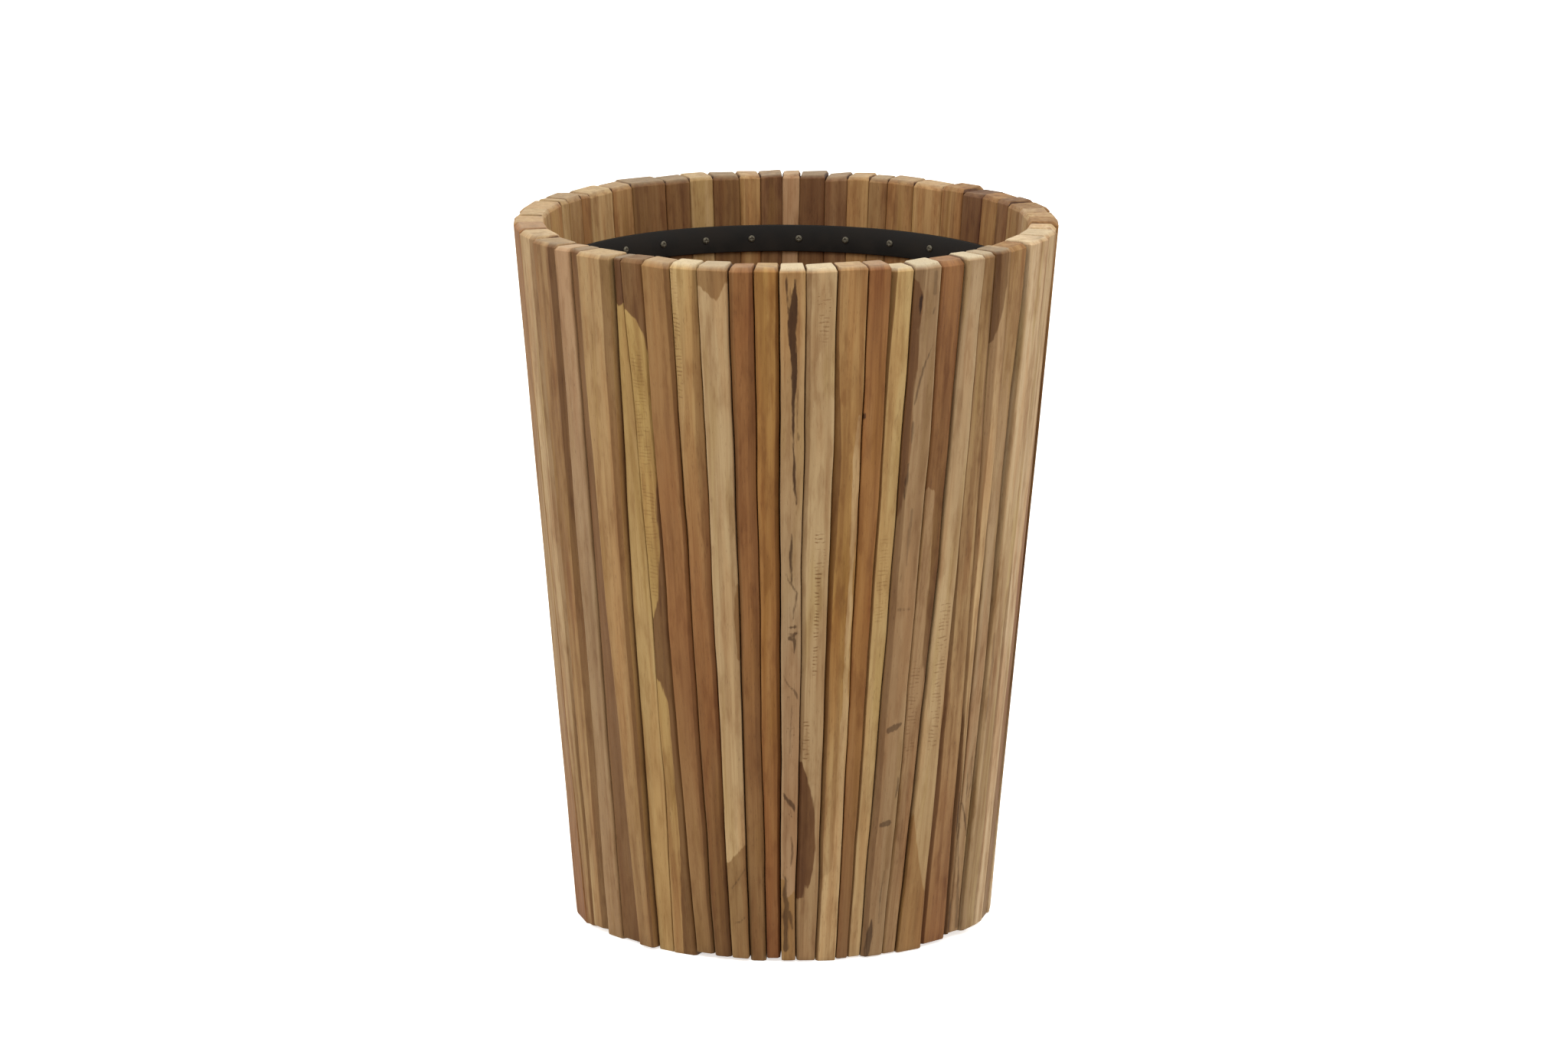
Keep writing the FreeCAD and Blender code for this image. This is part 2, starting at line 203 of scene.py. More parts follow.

# %% [markdown]
# ## Heartwood, stains and rough spots
# Some slats were cut across the line between sapwood and heartwood, a few have the dark strokes
# that fungus leaves in resting logs, and some show where the saw chattered. These shapes are drawn
# on the slat's face. The mesh carries the distance to them, and the material turns that into a
# ragged edge, so the drawing can stay rough.

# %% Heartwood outlines
# Each point is (share of the height above the ground, share of the width from the left).
heartwood = {
    7: ("umber", [[(1.1, -0.5), (0.945, -0.5), (0.93, 0.4), (0.94, 1.5), (1.1, 1.5)]]),
    8: ("coffee", [
        [(1.1, -0.5), (0.93, -0.5), (0.928, -0.02), (0.915, 0.56), (0.896, 0.87), (0.871, 0.99),
         (0.85, 1.12), (0.818, 1.18), (0.769, 1.11), (0.742, 1.08), (0.659, 0.92), (0.586, 0.82),
         (0.516, 0.48), (0.49, 0.08), (0.48, -0.5), (0.41, -0.5), (0.397, 0.27), (0.365, 0.59),
         (0.334, 0.62), (0.223, 0.59), (0.167, 0.64), (0.082, 0.54), (-0.05, 0.4), (-0.05, 2.0),
         (1.1, 2.0)],
    ]),
    11: ("hazel", [
        [(1.1, -0.5), (0.974, -0.5), (0.974, 0.0), (0.95, 0.62), (0.98, 1.03), (0.98, 1.5),
         (1.1, 1.5)],
        [(0.57, 1.5), (0.548, 0.97), (0.5, 0.86), (0.443, 0.93), (0.42, 1.5)],
        [(0.14, -0.5), (0.146, 0.22), (0.17, 1.0), (0.18, 1.5), (-0.05, 1.5), (-0.05, -0.5)],
    ]),
    14: ("clay", [
        [(0.126, -0.5), (0.122, 0.3), (0.096, 0.42), (0.1, 0.8), (0.12, 1.5), (-0.05, 1.5),
         (-0.05, -0.5)],
    ]),
    15: ("umber", [
        [(0.3, -0.5), (0.292, 0.1), (0.272, 0.38), (0.238, 0.61), (0.204, 0.79), (0.165, 0.85),
         (0.136, 0.76), (0.108, 0.5), (0.12, 0.36), (0.096, 0.3), (0.09, -0.5)],
    ]),
    16: ("butter", [
        [(0.79, 0.91), (0.727, 0.72), (0.5, 0.74), (0.3, 0.72), (0.1, 0.6), (-0.05, 0.4),
         (-0.05, 1.5), (0.1, 1.5), (0.3, 0.95), (0.5, 0.94), (0.727, 0.96)],
        [(0.1, -0.5), (0.13, 0.4), (0.16, 1.5), (-0.05, 1.5), (-0.05, -0.5)],
    ]),
    19: ("walnut", [
        [(1.1, -0.5), (0.985, -0.5), (0.975, 0.1), (0.955, 0.3), (0.93, 0.3), (0.905, 0.2),
         (0.885, 0.27), (0.85, 0.25), (0.82, 0.17), (0.785, 0.22), (0.74, 0.25), (0.7, 0.18),
         (0.66, 0.08), (0.62, -0.1), (0.6, -0.5)],
    ]),
    20: ("fawn", [
        [(0.66, -0.5), (0.678, 0.1), (0.67, 0.42), (0.6, 0.5), (0.5, 0.55), (0.42, 0.7),
         (0.37, 1.1), (0.3, 1.5), (-0.05, 1.5), (-0.05, -0.5)],
    ]),
    21: ("clay", [
        [(0.24, -0.5), (0.233, -0.18), (0.16, 0.26), (0.087, 0.8), (0.06, 1.5), (-0.05, 1.5),
         (-0.05, -0.5)],
    ]),
    23: ("coffee", [
        [(1.1, -0.5), (1.1, 0.7), (0.95, 0.74), (0.925, 0.62), (0.9, 0.45), (0.885, 0.3),
         (0.87, 0.12), (0.86, -0.5)],
        [(0.4, -0.1), (0.33, 0.12), (0.26, 0.34), (0.2, 0.55), (0.14, 0.4), (0.08, 0.2),
         (-0.05, 0.3), (-0.05, -0.6), (0.4, -0.6)],
    ]),
}

# %% Stains
# For each slat, strokes with a strength. A stroke's points are (share of the height, share of the
# width, half of its width in millimetres).
stains = {
    11: [
        (0.6, [(0.107, 0.23, 0.8), (0.12, 0.6, 0.9), (0.136, 0.97, 0.7)]),
        (0.6, [(0.056, 0.22, 0.8), (0.058, 0.6, 0.8), (0.066, 0.92, 0.7)]),
    ],
    13: [(0.7, [(0.656, 0.9, 1.4), (0.65, 0.93, 1.2)])],
    14: [
        (0.9, [(0.991, 0.27, 0.5), (0.978, 0.27, 1.4), (0.964, 0.285, 1.2), (0.951, 0.3, 1.0),
               (0.939, 0.32, 1.0), (0.93, 0.37, 1.0)]),
        (0.6, [(0.974, 0.41, 0.5), (0.94, 0.41, 0.6)]),
        (1.0, [(0.985, 0.61, 0.6), (0.976, 0.6, 1.2), (0.97, 0.58, 2.2), (0.957, 0.56, 3.1),
               (0.941, 0.51, 4.4), (0.925, 0.48, 4.5), (0.909, 0.47, 3.9), (0.893, 0.5, 3.7),
               (0.878, 0.54, 3.3), (0.862, 0.56, 3.1), (0.846, 0.565, 2.8), (0.83, 0.565, 2.5),
               (0.817, 0.55, 2.0), (0.8, 0.53, 1.7), (0.78, 0.53, 1.5), (0.765, 0.54, 1.2),
               (0.745, 0.54, 0.9), (0.735, 0.58, 1.1), (0.719, 0.59, 1.6), (0.703, 0.6, 1.7),
               (0.687, 0.64, 1.5), (0.675, 0.7, 1.0), (0.666, 0.71, 0.5)]),
        (0.5, [(0.83, 0.74, 0.7), (0.79, 0.7, 0.8), (0.775, 0.72, 0.6)]),
        (0.5, [(0.768, 0.74, 0.9), (0.762, 0.76, 1.4), (0.757, 0.78, 0.9)]),
        (0.9, [(0.626, 0.5, 0.5), (0.614, 0.52, 1.2), (0.6, 0.5, 1.6), (0.586, 0.5, 1.7),
               (0.575, 0.51, 1.4), (0.565, 0.53, 0.9), (0.552, 0.53, 0.4)]),
        (0.7, [(0.568, 0.25, 0.5), (0.557, 0.38, 1.1), (0.548, 0.6, 1.3), (0.54, 0.8, 1.0),
               (0.526, 0.75, 1.2), (0.516, 0.66, 1.3), (0.502, 0.6, 0.8)]),
        (0.8, [(0.489, 0.36, 1.3), (0.491, 0.75, 1.6)]),
        (0.8, [(0.48, 0.38, 1.2), (0.479, 0.6, 2.0), (0.482, 0.82, 1.4)]),
        (0.8, [(0.474, 0.42, 2.0), (0.472, 0.66, 2.2), (0.464, 0.68, 1.8), (0.452, 0.65, 0.5)]),
        (0.6, [(0.42, 0.2, 0.4), (0.413, 0.22, 0.7), (0.405, 0.42, 1.0), (0.398, 0.69, 1.3),
               (0.391, 0.84, 1.8), (0.386, 0.86, 0.6)]),
        (0.5, [(0.389, 0.4, 0.9), (0.3885, 0.42, 0.9)]),
        (0.45, [(0.378, 0.55, 0.6), (0.344, 0.5, 0.7), (0.307, 0.48, 0.6)]),
        (0.45, [(0.376, 0.52, 0.6), (0.3755, 0.77, 0.6)]),
        (0.45, [(0.344, 0.35, 0.7), (0.3445, 0.7, 0.7)]),
        (0.45, [(0.333, 0.45, 0.6), (0.334, 0.75, 0.6)]),
        (0.45, [(0.317, 0.35, 0.8), (0.318, 0.6, 0.7)]),
        (0.8, [(0.25, 0.07, 0.6), (0.242, 0.28, 1.8), (0.235, 0.55, 2.4), (0.228, 0.75, 1.8),
               (0.222, 0.78, 0.6)]),
        (0.6, [(0.219, 0.45, 0.7), (0.213, 0.72, 0.8)]),
        (0.6, [(0.185, 0.62, 0.5), (0.173, 0.7, 1.3), (0.158, 0.72, 1.6), (0.142, 0.65, 1.0)]),
        (0.7, [(0.13, 0.15, 0.6), (0.121, 0.35, 1.3), (0.099, 0.25, 2.4), (0.085, 0.4, 2.4),
               (0.068, 0.3, 3.2), (0.05, 0.35, 2.0), (0.02, 0.3, 3.0)]),
        (0.6, [(0.075, 0.6, 1.6), (0.066, 0.68, 2.4), (0.05, 0.8, 1.0)]),
    ],
    19: [
        (1.0, [(0.97, 0.17, 1.0), (0.951, 0.2, 2.6), (0.938, 0.2, 2.4), (0.926, 0.17, 1.2)]),
        (0.6, [(0.9, 0.14, 1.0), (0.88, 0.12, 1.6), (0.86, 0.14, 1.2), (0.83, 0.1, 0.6)]),
        (0.35, [(0.985, 0.76, 2.2), (0.955, 0.76, 2.4)]),
        (0.5, [(0.935, 0.8, 0.6), (0.926, 0.76, 0.9)]),
        (0.6, [(0.882, 0.84, 0.8), (0.85, 0.5, 1.4), (0.827, 0.35, 1.5), (0.8, 0.25, 1.2)]),
        (0.5, [(0.775, 0.25, 1.6), (0.758, 0.26, 1.8), (0.745, 0.26, 0.6)]),
        (0.7, [(0.717, 0.2, 0.8), (0.7, 0.2, 1.5), (0.688, 0.17, 1.3), (0.665, 0.15, 0.6)]),
        (0.35, [(0.65, 0.5, 1.6), (0.61, 0.45, 2.2), (0.57, 0.45, 1.0)]),
        (0.5, [(0.56, 0.25, 0.6), (0.548, 0.25, 0.7)]),
        (0.45, [(0.507, 0.24, 1.3), (0.506, 0.75, 1.3)]),
        (0.65, [(0.333, 0.3, 3.2), (0.337, 0.6, 3.6), (0.34, 0.78, 1.6)]),
        (0.6, [(0.262, 0.88, 1.0), (0.245, 0.9, 1.8), (0.232, 0.86, 0.8)]),
        (0.65, [(0.195, 0.32, 2.6), (0.197, 0.66, 3.0)]),
        (0.6, [(0.128, 0.7, 0.7), (0.093, 0.62, 0.8), (0.05, 0.66, 0.6)]),
        (0.8, [(0.057, 0.28, 0.8), (0.037, 0.25, 3.4), (0.016, 0.22, 3.0), (0.0, 0.2, 2.0)]),
    ],
    17: [(0.9, [(0.791, 0.02, 1.6), (0.786, 0.04, 1.4)])],
    23: [
        (0.7, [(0.22, 0.3, 0.8), (0.18, 0.4, 1.5), (0.15, 0.5, 0.8)]),
        (0.6, [(0.06, 0.5, 0.8), (0.04, 0.4, 1.6), (0.015, 0.5, 1.2)]),
    ],
    24: [
        (0.7, [(0.2, 0.05, 1.0), (0.19, 0.25, 1.4), (0.175, 0.5, 1.6), (0.16, 0.72, 1.4),
               (0.148, 0.85, 0.8)]),
        (0.55, [(0.265, 0.62, 0.7), (0.24, 0.7, 1.1), (0.222, 0.72, 1.3), (0.205, 0.6, 0.9)]),
        (0.5, [(0.17, 0.02, 1.0), (0.14, 0.1, 1.3), (0.11, 0.3, 1.3), (0.09, 0.45, 1.6),
               (0.05, 0.62, 2.2), (0.015, 0.7, 2.4)]),
        (0.5, [(0.26, 0.2, 0.7), (0.22, 0.4, 1.1), (0.2, 0.42, 0.8)]),
    ],
    25: [(0.35, [(0.44, 0.1, 1.2), (0.4, 0.15, 2.2), (0.34, 0.12, 1.8), (0.3, 0.1, 0.8)])],
    42: [(0.9, [(0.95, 0.67, 1.2), (0.9495, 0.68, 1.2)]), (0.8, [(0.98, 0.4, 0.8), (0.98, 0.41, 0.8)])],
    40: [(0.9, [(0.95, 0.51, 1.2), (0.9495, 0.52, 1.2)])],
}

# %% Where the saw chattered, in the same form
chatter = {
    8: [(0.35, [(0.86, 0.4, 6.0), (0.6, 0.4, 7.0), (0.52, 0.3, 3.0)])],
    10: [(0.8, [(0.99, 0.15, 3.5), (0.8, 0.15, 3.0)])],
    15: [
        (1.0, [(0.62, 0.62, 4.0), (0.59, 0.66, 5.0), (0.55, 0.6, 2.0), (0.42, 0.55, 2.0)]),
        (0.8, [(0.35, 0.25, 3.0), (0.3, 0.25, 3.0)]),
        (0.6, [(0.96, 0.6, 6.0), (0.9, 0.6, 4.0)]),
    ],
    18: [(0.4, [(0.6, 0.5, 5.0), (0.5, 0.5, 4.0)])],
    20: [(0.5, [(0.42, 0.3, 5.0), (0.3, 0.35, 5.0)])],
    21: [(0.6, [(0.5, 0.5, 6.0), (0.3, 0.5, 5.0)])],
}
print(len(heartwood), "slats show heartwood,", len(stains), "are stained")

# %% How pale the ends are
# Ends that were cut last are pale, and the others have darkened like the wall. The paleness is also
# painted light on the ends, which face up.
usual_pale_share = 0.4
pale_shares = {number: 0.15 for number in range(27, 36)}
pale_shares.update({8: 0.2, 10: 0.8, 11: 0.6, 12: 0.25, 14: 1.0, 15: 0.8, 18: 0.7, 19: 0.9})
pale_shares.update({20: 0.2, 21: 0.9, 22: 0.6, 24: 0.1, 25: 0.5, 26: 0.6})

# %% [markdown]
# ## Flats along the edges
# The offcuts kept some of the flats left by earlier cuts: a long slope beside a joint, wide at one
# height and gone at another. A flat turned from the lamps is painted darker, as painted shade, and
# one turned towards them paler, as painted light. They make the shadows beside the joints uneven,
# which a plain bar with the same edge all along would not show.

# %% Flats
# For each slat: the side, how far the flat falls in millimetres, how much painted shade (below zero)
# or painted light (above zero) it gets, and its (share of the height, width in millimetres) from the rim
# down.
flats = {
    2: [
        ("left", 3.0, 0.12, [(1.0, 5.0), (0.5, 3.0), (0.2, 2.0)]),
        ("right", 3.0, -0.25, [(1.0, 9.0), (0.5, 8.0), (0.2, 5.0), (0.0, 4.0)]),
    ],
    3: [("right", 4.0, -0.3, [(1.0, 9.0), (0.75, 8.0), (0.5, 9.0), (0.4, 10.0), (0.0, 9.0)])],
    6: [("right", 3.5, -0.25, [(1.0, 8.0), (0.85, 7.0), (0.7, 5.0), (0.5, 3.0), (0.0, 1.5)])],
    7: [("left", 3.0, -0.2, [(1.0, 2.0), (0.8, 3.0), (0.6, 2.0), (0.0, 1.5)])],
    9: [("right", 3.0, -0.2, [(1.0, 5.0), (0.85, 3.5), (0.7, 1.5), (0.4, 3.0), (0.0, 2.0)])],
    10: [
        ("left", 2.5, 0.15, [(1.0, 8.0), (0.8, 7.0), (0.72, 3.0), (0.5, 2.0)]),
        ("right", 2.5, -0.15, [(1.0, 3.0), (0.9, 6.0), (0.75, 8.0), (0.6, 6.0), (0.4, 3.0)]),
    ],
    11: [("right", 2.0, -0.1, [(0.8, 1.0), (0.6, 5.0), (0.3, 4.0), (0.1, 1.0)])],
    12: [
        ("left", 2.0, 0.2, [(1.0, 5.0), (0.85, 4.0), (0.6, 3.0), (0.0, 2.0)]),
        ("right", 2.0, -0.12, [(1.0, 3.0), (0.9, 5.0), (0.7, 7.0), (0.4, 5.0), (0.1, 2.0)]),
    ],
    13: [("right", 3.0, -0.25, [(1.0, 2.0), (0.9, 3.0), (0.7, 4.0), (0.3, 3.0), (0.0, 2.0)])],
    14: [
        ("right", 1.5, 0.12, [(1.0, 5.0), (0.8, 6.0), (0.6, 3.0), (0.3, 2.0)]),
        ("left", 1.5, 0.1, [(1.0, 3.0), (0.8, 2.0), (0.3, 2.0)]),
    ],
    15: [("left", 2.5, -0.15, [(1.0, 5.0), (0.8, 4.0), (0.5, 4.0), (0.3, 3.0), (0.0, 2.0)])],
    16: [("left", 4.0, -0.3, [(1.0, 1.5), (0.9, 2.0), (0.8, 4.5), (0.7, 6.0), (0.6, 4.0), (0.4, 3.0),
                              (0.0, 2.0)])],
    18: [("left", 5.0, -0.35, [(1.0, 6.0), (0.97, 5.0), (0.9, 3.0), (0.8, 1.5), (0.0, 1.5)])],
    19: [
        ("left", 4.0, -0.2, [(1.0, 9.0), (0.9, 7.0), (0.8, 5.0), (0.5, 4.0), (0.2, 4.0), (0.0, 3.0)]),
        ("right", 1.5, 0.15, [(1.0, 2.0), (0.5, 2.0), (0.0, 2.0)]),
    ],
    20: [("right", 3.0, -0.15, [(1.0, 5.0), (0.9, 6.0), (0.8, 4.0), (0.6, 2.0), (0.0, 2.0)])],
    21: [("right", 4.0, -0.25, [(0.6, 1.0), (0.4, 3.0), (0.2, 4.0), (0.0, 3.0)])],
    22: [
        ("left", 4.0, -0.3, [(1.0, 1.5), (0.6, 2.0), (0.5, 4.0), (0.2, 4.5), (0.0, 3.0)]),
        ("right", 2.5, -0.2, [(1.0, 3.0), (0.8, 5.0), (0.6, 3.0), (0.3, 1.5), (0.0, 1.5)]),
    ],
    23: [
        ("left", 3.0, -0.2, [(1.0, 5.0), (0.9, 7.0), (0.75, 7.0), (0.65, 3.0), (0.0, 2.0)]),
        ("right", 4.0, -0.35, [(1.0, 2.0), (0.7, 2.5), (0.5, 6.0), (0.3, 8.0), (0.15, 5.0), (0.0, 3.0)]),
    ],
    24: [("right", 5.0, -0.35, [(1.0, 3.0), (0.9, 5.0), (0.8, 7.0), (0.7, 6.0), (0.6, 4.0), (0.4, 2.0)])],
    25: [("right", 5.0, -0.4, [(1.0, 1.0), (0.75, 2.0), (0.6, 4.0), (0.45, 9.0), (0.1, 8.0), (0.0, 7.0)])],
    26: [
        ("left", 3.0, -0.2, [(1.0, 1.5), (0.6, 2.0), (0.45, 4.0), (0.2, 5.0), (0.0, 4.0)]),
        ("right", 4.0, -0.35, [(1.0, 2.0), (0.6, 3.0), (0.3, 5.0), (0.0, 5.0)]),
    ],
    27: [("left", 3.0, -0.25, [(1.0, 4.0), (0.8, 5.0), (0.5, 3.0), (0.0, 3.0)])],
}
print(sum(len(sides) for sides in flats.values()), "flats drawn")

# %% Flanks that stand open
# These slats stand so proud that their open flanks get less painted shade in the joints.
open_flank_slats = {5, 6, 25, 28, 29}
open_flank_shade_share = 0.55

# %% [markdown]
# ## Slats
# On the real planter each slat is sawn by hand, its long edges are eased with a knife or plane, and
# the end at the rim gets a small sloping flat. The CAD model gives the straight version. Here its
# outline is read with level cuts at five heights, then many rings are set between them, each a
# little off: the joint wanders, the eased edge widens and narrows, the face swells. Neighbours
# share the wander of their joint, so the gap stays even. Rings joined by bridging suit such a long
# twisted bar better than an extruded outline, which can't change on its way up.

# %% A node's mesh joined up, and its solids apart
merge_distance = 0.01 * millimetre
# Turns are counted from this many degrees to the left of the front, between slats 54 and 55.
count_start = 100


def joined_copy(node_name):
    """A bmesh of a CAD node with its loose triangles joined."""
    mesh = bmesh.new()
    mesh.from_mesh(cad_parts[node_name].data)
    bmesh.ops.remove_doubles(mesh, verts=mesh.verts, dist=merge_distance)
    return mesh


def turn_of(solid):
    """How far round from the left a solid stands, in degrees."""
    middle = sum((vertex.co for vertex in solid.verts), Vector()) / len(solid.verts)
    return (math.degrees(math.atan2(middle.x, -middle.y)) + count_start) % 360


def solids_of(node_name):
    """A bmesh for each solid of a CAD node, from left to right as seen from outside."""
    whole = joined_copy(node_name)
    whole.verts.index_update()
    unseen = set(whole.verts)
    solids = []
    while unseen:
        found, waiting = set(), [next(iter(unseen))]
        while waiting:
            vertex = waiting.pop()
            if vertex not in found:
                found.add(vertex)
                waiting += [edge.other_vert(vertex) for edge in vertex.link_edges]
        unseen -= found
        group = {vertex.index for vertex in found}
        solid = whole.copy()
        spare = [vertex for vertex in solid.verts if vertex.index not in group]
        bmesh.ops.delete(solid, geom=spare, context="VERTS")
        solids.append(solid)
    whole.free()
    return sorted(solids, key=turn_of)


# %% The eight corners of a slat at a height
slice_heights = [0.008, 0.163, 0.327, 0.491, 0.645]
corner_count = 8


def corners_cut(solid, height):
    """A solid's corners at a height, from the inner left one round by the outside."""
    cut = solid.copy()
    bmesh.ops.bisect_plane(
        cut,
        geom=cut.verts[:] + cut.edges[:] + cut.faces[:],
        plane_co=(0, 0, height),
        plane_no=(0, 0, 1),
        clear_inner=True,
        clear_outer=True,
    )
    bmesh.ops.remove_doubles(cut, verts=cut.verts, dist=2 * merge_distance)

    def straightness(vertex):
        before, after = (edge.other_vert(vertex).co - vertex.co for edge in vertex.link_edges)
        return before.angle(after)

    sharpest = sorted(cut.verts, key=straightness)[:corner_count]
    corners = [vertex.co.to_2d() for vertex in sharpest]
    cut.free()
    middle = sum(corners, Vector((0, 0))) / len(corners)
    inwards = -middle.normalized()
    leftwards = Vector((-inwards.y, inwards.x))

    def turn(corner):
        spoke = corner - middle
        return math.atan2(spoke.dot(leftwards), spoke.dot(inwards)) % (2 * math.pi)

    return sorted(corners, key=turn)


def corners_at(rows, height):
    """The corners at any height, in straight runs between the cuts."""
    for (low, starts), (high, ends) in zip(rows, rows[1:]):
        if height <= high or high == slice_heights[-1]:
            share = (height - low) / (high - low)
            return [start + (end - start) * share for start, end in zip(starts, ends)]


# %% Unevenness
# For each kind: its seed, its strength, the length in metres over which it changes, and where its
# noise is read at height 0. Tilts, roundings and a joint's usual opening are the same all the way
# up, so they are read only there.
unevenness = {
    "wander": (1, 0.8, 0.11, 0.0),
    "quick_wander": (71, 0.25, 0.035, 0.0),
    "edge": (151, 0.26, 0.16, 0.0),
    "quick_edge": (311, 0.12, 0.045, 0.0),
    "swell": (431, 0.5, 0.13, 0.0),
    "joint_opening": (511, 0.45, 1.0, 0.5),
    "opening_along": (541, 0.45, 0.15, 0.0),
    "top_tilt": (601, 1.0, 1.0, 0.3),
    "rim_rounding": (631, 0.35, 1.0, 0.7),
    "face_tilt": (711, 1.0, 1.0, 0.4),
    "face_twist": (731, 0.4, 0.4, 0.0),
}
noise_gain = 1.6
# Each seed reads its own line through the noise, away from whole numbers, where noise is zero.
line_spacing = (7.31, 3.17)


def uneven(kind, number, height=0.0):
    """Smooth noise either side of zero for the slat, edge or joint with this number."""
    seed, strength, length, start = unevenness[kind]
    line = [(seed + number) * spacing for spacing in line_spacing]
    place = Vector((start + height / length, line[0], line[1] + 0.5))
    return strength * (noise_gain * noise.noise(place))


# %% How joints wander and open
joint_wander = 1.1 * millimetre
joint_opening = 0.38 * millimetre
usual_opening_share = 0.6


def wander(joint, height):
    """How far a joint strays sideways at a height. Both slats beside it use the same value."""
    joint %= slat_count
    return joint_wander * (uneven("wander", joint, height) + uneven("quick_wander", joint, height))


def opening(joint, height):
    """Half of how far a joint stands open at a height, on top of the CAD model's gap."""
    joint %= slat_count
    whole, along = uneven("joint_opening", joint), uneven("opening_along", joint, height)
    return joint_opening * max(0.0, usual_opening_share + whole + along)


# %% How edges are eased
# Shares of the CAD model's edge, and how far a flat falls at most for each millimetre of its width
usual_edge_share, least_edge_share = 0.34, 0.14
steepest_flat = 1.3


def clamp(value, low=0.0, high=1.0):
    """The value, or the limit that it is past."""
    return max(low, min(high, value))


def value_along(run, place):
    """A value between the rows of a table that falls from the rim to the foot."""
    for (high, above), (low, below) in zip(run, run[1:]):
        if place >= low:
            return above + (below - above) * clamp((high - place) / (high - low))
    return run[-1][1]


def edge_at(number, side, height, plain):
    """How far an eased edge reaches across the face and down the flank, and its shade.

    plain is how wide the edge is in the CAD model."""
    edge = number * 2 + ("left", "right").index(side)
    quick = uneven("quick_edge", edge, height)
    for name, fall, shade, run in flats.get(number, []):
        if name == side:
            across = value_along(run, height / planter_height) * millimetre * (1 + quick)
            return across, min(fall * millimetre, steepest_flat * across), shade
    share = max(least_edge_share, usual_edge_share + uneven("edge", edge, height) + quick)
    return plain * share, plain * share, 0.0


# %% The outline of a slat at a height
face_swell = 0.7 * millimetre
usual_swell_share = 0.5
face_tilt = 1.1 * millimetre
inner_closing = 0.32 * millimetre
inner_edge = 1.2 * millimetre
flank_rounding_share = 0.4
inner_rounding_share = 0.6
edge_limit_share = 0.42
# A side has the number of the corner before it.
left_flank, left_slope, face_side, right_slope, right_flank, inner_side = 1, 2, 3, 4, 5, 7


def crossing(point, way, other_point, other_way):
    """Where two lines on the level cross."""
    return point + way * ((other_point - point).cross(other_way) / way.cross(other_way))


def shaped_corners(number, rows, height, eased):
    """The eight corners of a slat's outline after shaping, and its outer left and right.

    eased is how far the outer face is drawn in where the end is rounded over. The last two results
    are the shades of the eased edges and how deep the flanks start."""
    c = corners_at(rows, height)
    rightwards = (c[7] - c[0]).normalized()
    outwards = Vector((rightwards.y, -rightwards.x))
    plain_way = (c[4] - c[3]).normalized()
    swell = face_swell * (usual_swell_share + uneven("swell", number, height)) + eased
    tilt = face_tilt * (uneven("face_tilt", number) + uneven("face_twist", number, height))
    face_left = c[3] - outwards * (swell + max(0.0, tilt))
    face_right = c[4] - outwards * (swell + max(0.0, -tilt))
    outer_way = (face_right - face_left).normalized()
    inner_point = c[0] + outwards * eased * inner_rounding_share
    halves, outer, shades, falls = [], [], {}, {}
    for side, sign, joint, inside_corner, flank_corner, slope_side, flank_side in (
        ("left", 1, number - 1, c[1], c[2], left_slope, left_flank),
        ("right", -1, number, c[6], c[5], right_slope, right_flank),
    ):
        inwards = rightwards * sign
        shift = rightwards * (wander(joint, height) + sign * eased * flank_rounding_share)
        point = inside_corner + shift - inwards * inner_closing
        way = (flank_corner + shift + inwards * opening(joint, height) - point).normalized()
        flank_way = flank_corner - inside_corner
        plain = flank_corner - crossing(inside_corner, flank_way, c[3], plain_way)
        across, fall, shades[slope_side] = edge_at(number, side, height, plain.length)
        falls[flank_side] = fall
        inner = crossing(point, way, inner_point, rightwards)
        outer.append(crossing(point, way, face_left, outer_way))
        half = [inner + inwards * inner_edge, inner + way * inner_edge, outer[-1] - way * fall]
        halves.append((half, outer_way * sign, across))
    limit = (outer[1] - outer[0]).length * edge_limit_share
    for corner, (half, along_face, across) in zip(outer, halves):
        half.append(corner + along_face * min(across, limit))
    (left, *_), (right, *_) = halves
    return left + right[::-1], *outer, shades, falls


# %% Softer corners
corner_softness, softness_limit_share = 0.4 * millimetre, 0.3
support_distance, support_limit_share = 0.5 * millimetre, 0.2


def soft_outline(corners, spans):
    """Points round an outline, each with its side: two to a corner, and more where spans says."""
    points = []
    for side, corner in enumerate(corners):
        after = corners[(side + 1) % len(corners)]
        way, length = (after - corner).normalized(), (after - corner).length
        softness = min(corner_softness, length * softness_limit_share)
        start, end = corner + way * softness, after - way * softness
        points.append((start, side))
        count = spans.get(side, 0)
        if count:
            support = min(support_distance, length * support_limit_share)
            first, last = start + way * support, end - way * support
            points += [(first + (last - first) * step / count, side) for step in range(count + 1)]
        points.append((end, side))
    return points


# %% Distance to the drawn shapes
far_away = -30 * millimetre
stroke_reach = 30 * millimetre
tiny = 1e-12


def on_face(height, across, width):
    """The place on a slat's face that two shares give."""
    return Vector((across * width, height * planter_height))


def share_of_line(point, start, end):
    """How far along a straight line the nearest place to a point is, from 0 to 1."""
    run = end - start
    return clamp((point - start).dot(run) / max(run.length_squared, tiny))


def inside(point, outline):
    """Whether a point is inside an outline."""
    odd = False
    for start, end in zip(outline, outline[1:] + outline[:1]):
        if (start.y > point.y) != (end.y > point.y):
            if point.x < start.x + (end.x - start.x) * (point.y - start.y) / (end.y - start.y):
                odd = not odd
    return odd


def heart_depth(outlines, place, width):
    """How deep inside the drawn heartwood a place on a slat is. Outside it is negative."""
    deepest = far_away
    for mark in outlines:
        outline = [on_face(height, across, width) for height, across in mark]
        depth = min(
            (place - start.lerp(end, share_of_line(place, start, end))).length
            for start, end in zip(outline, outline[1:] + outline[:1])
        )
        deepest = max(deepest, depth if inside(place, outline) else -depth)
    return deepest


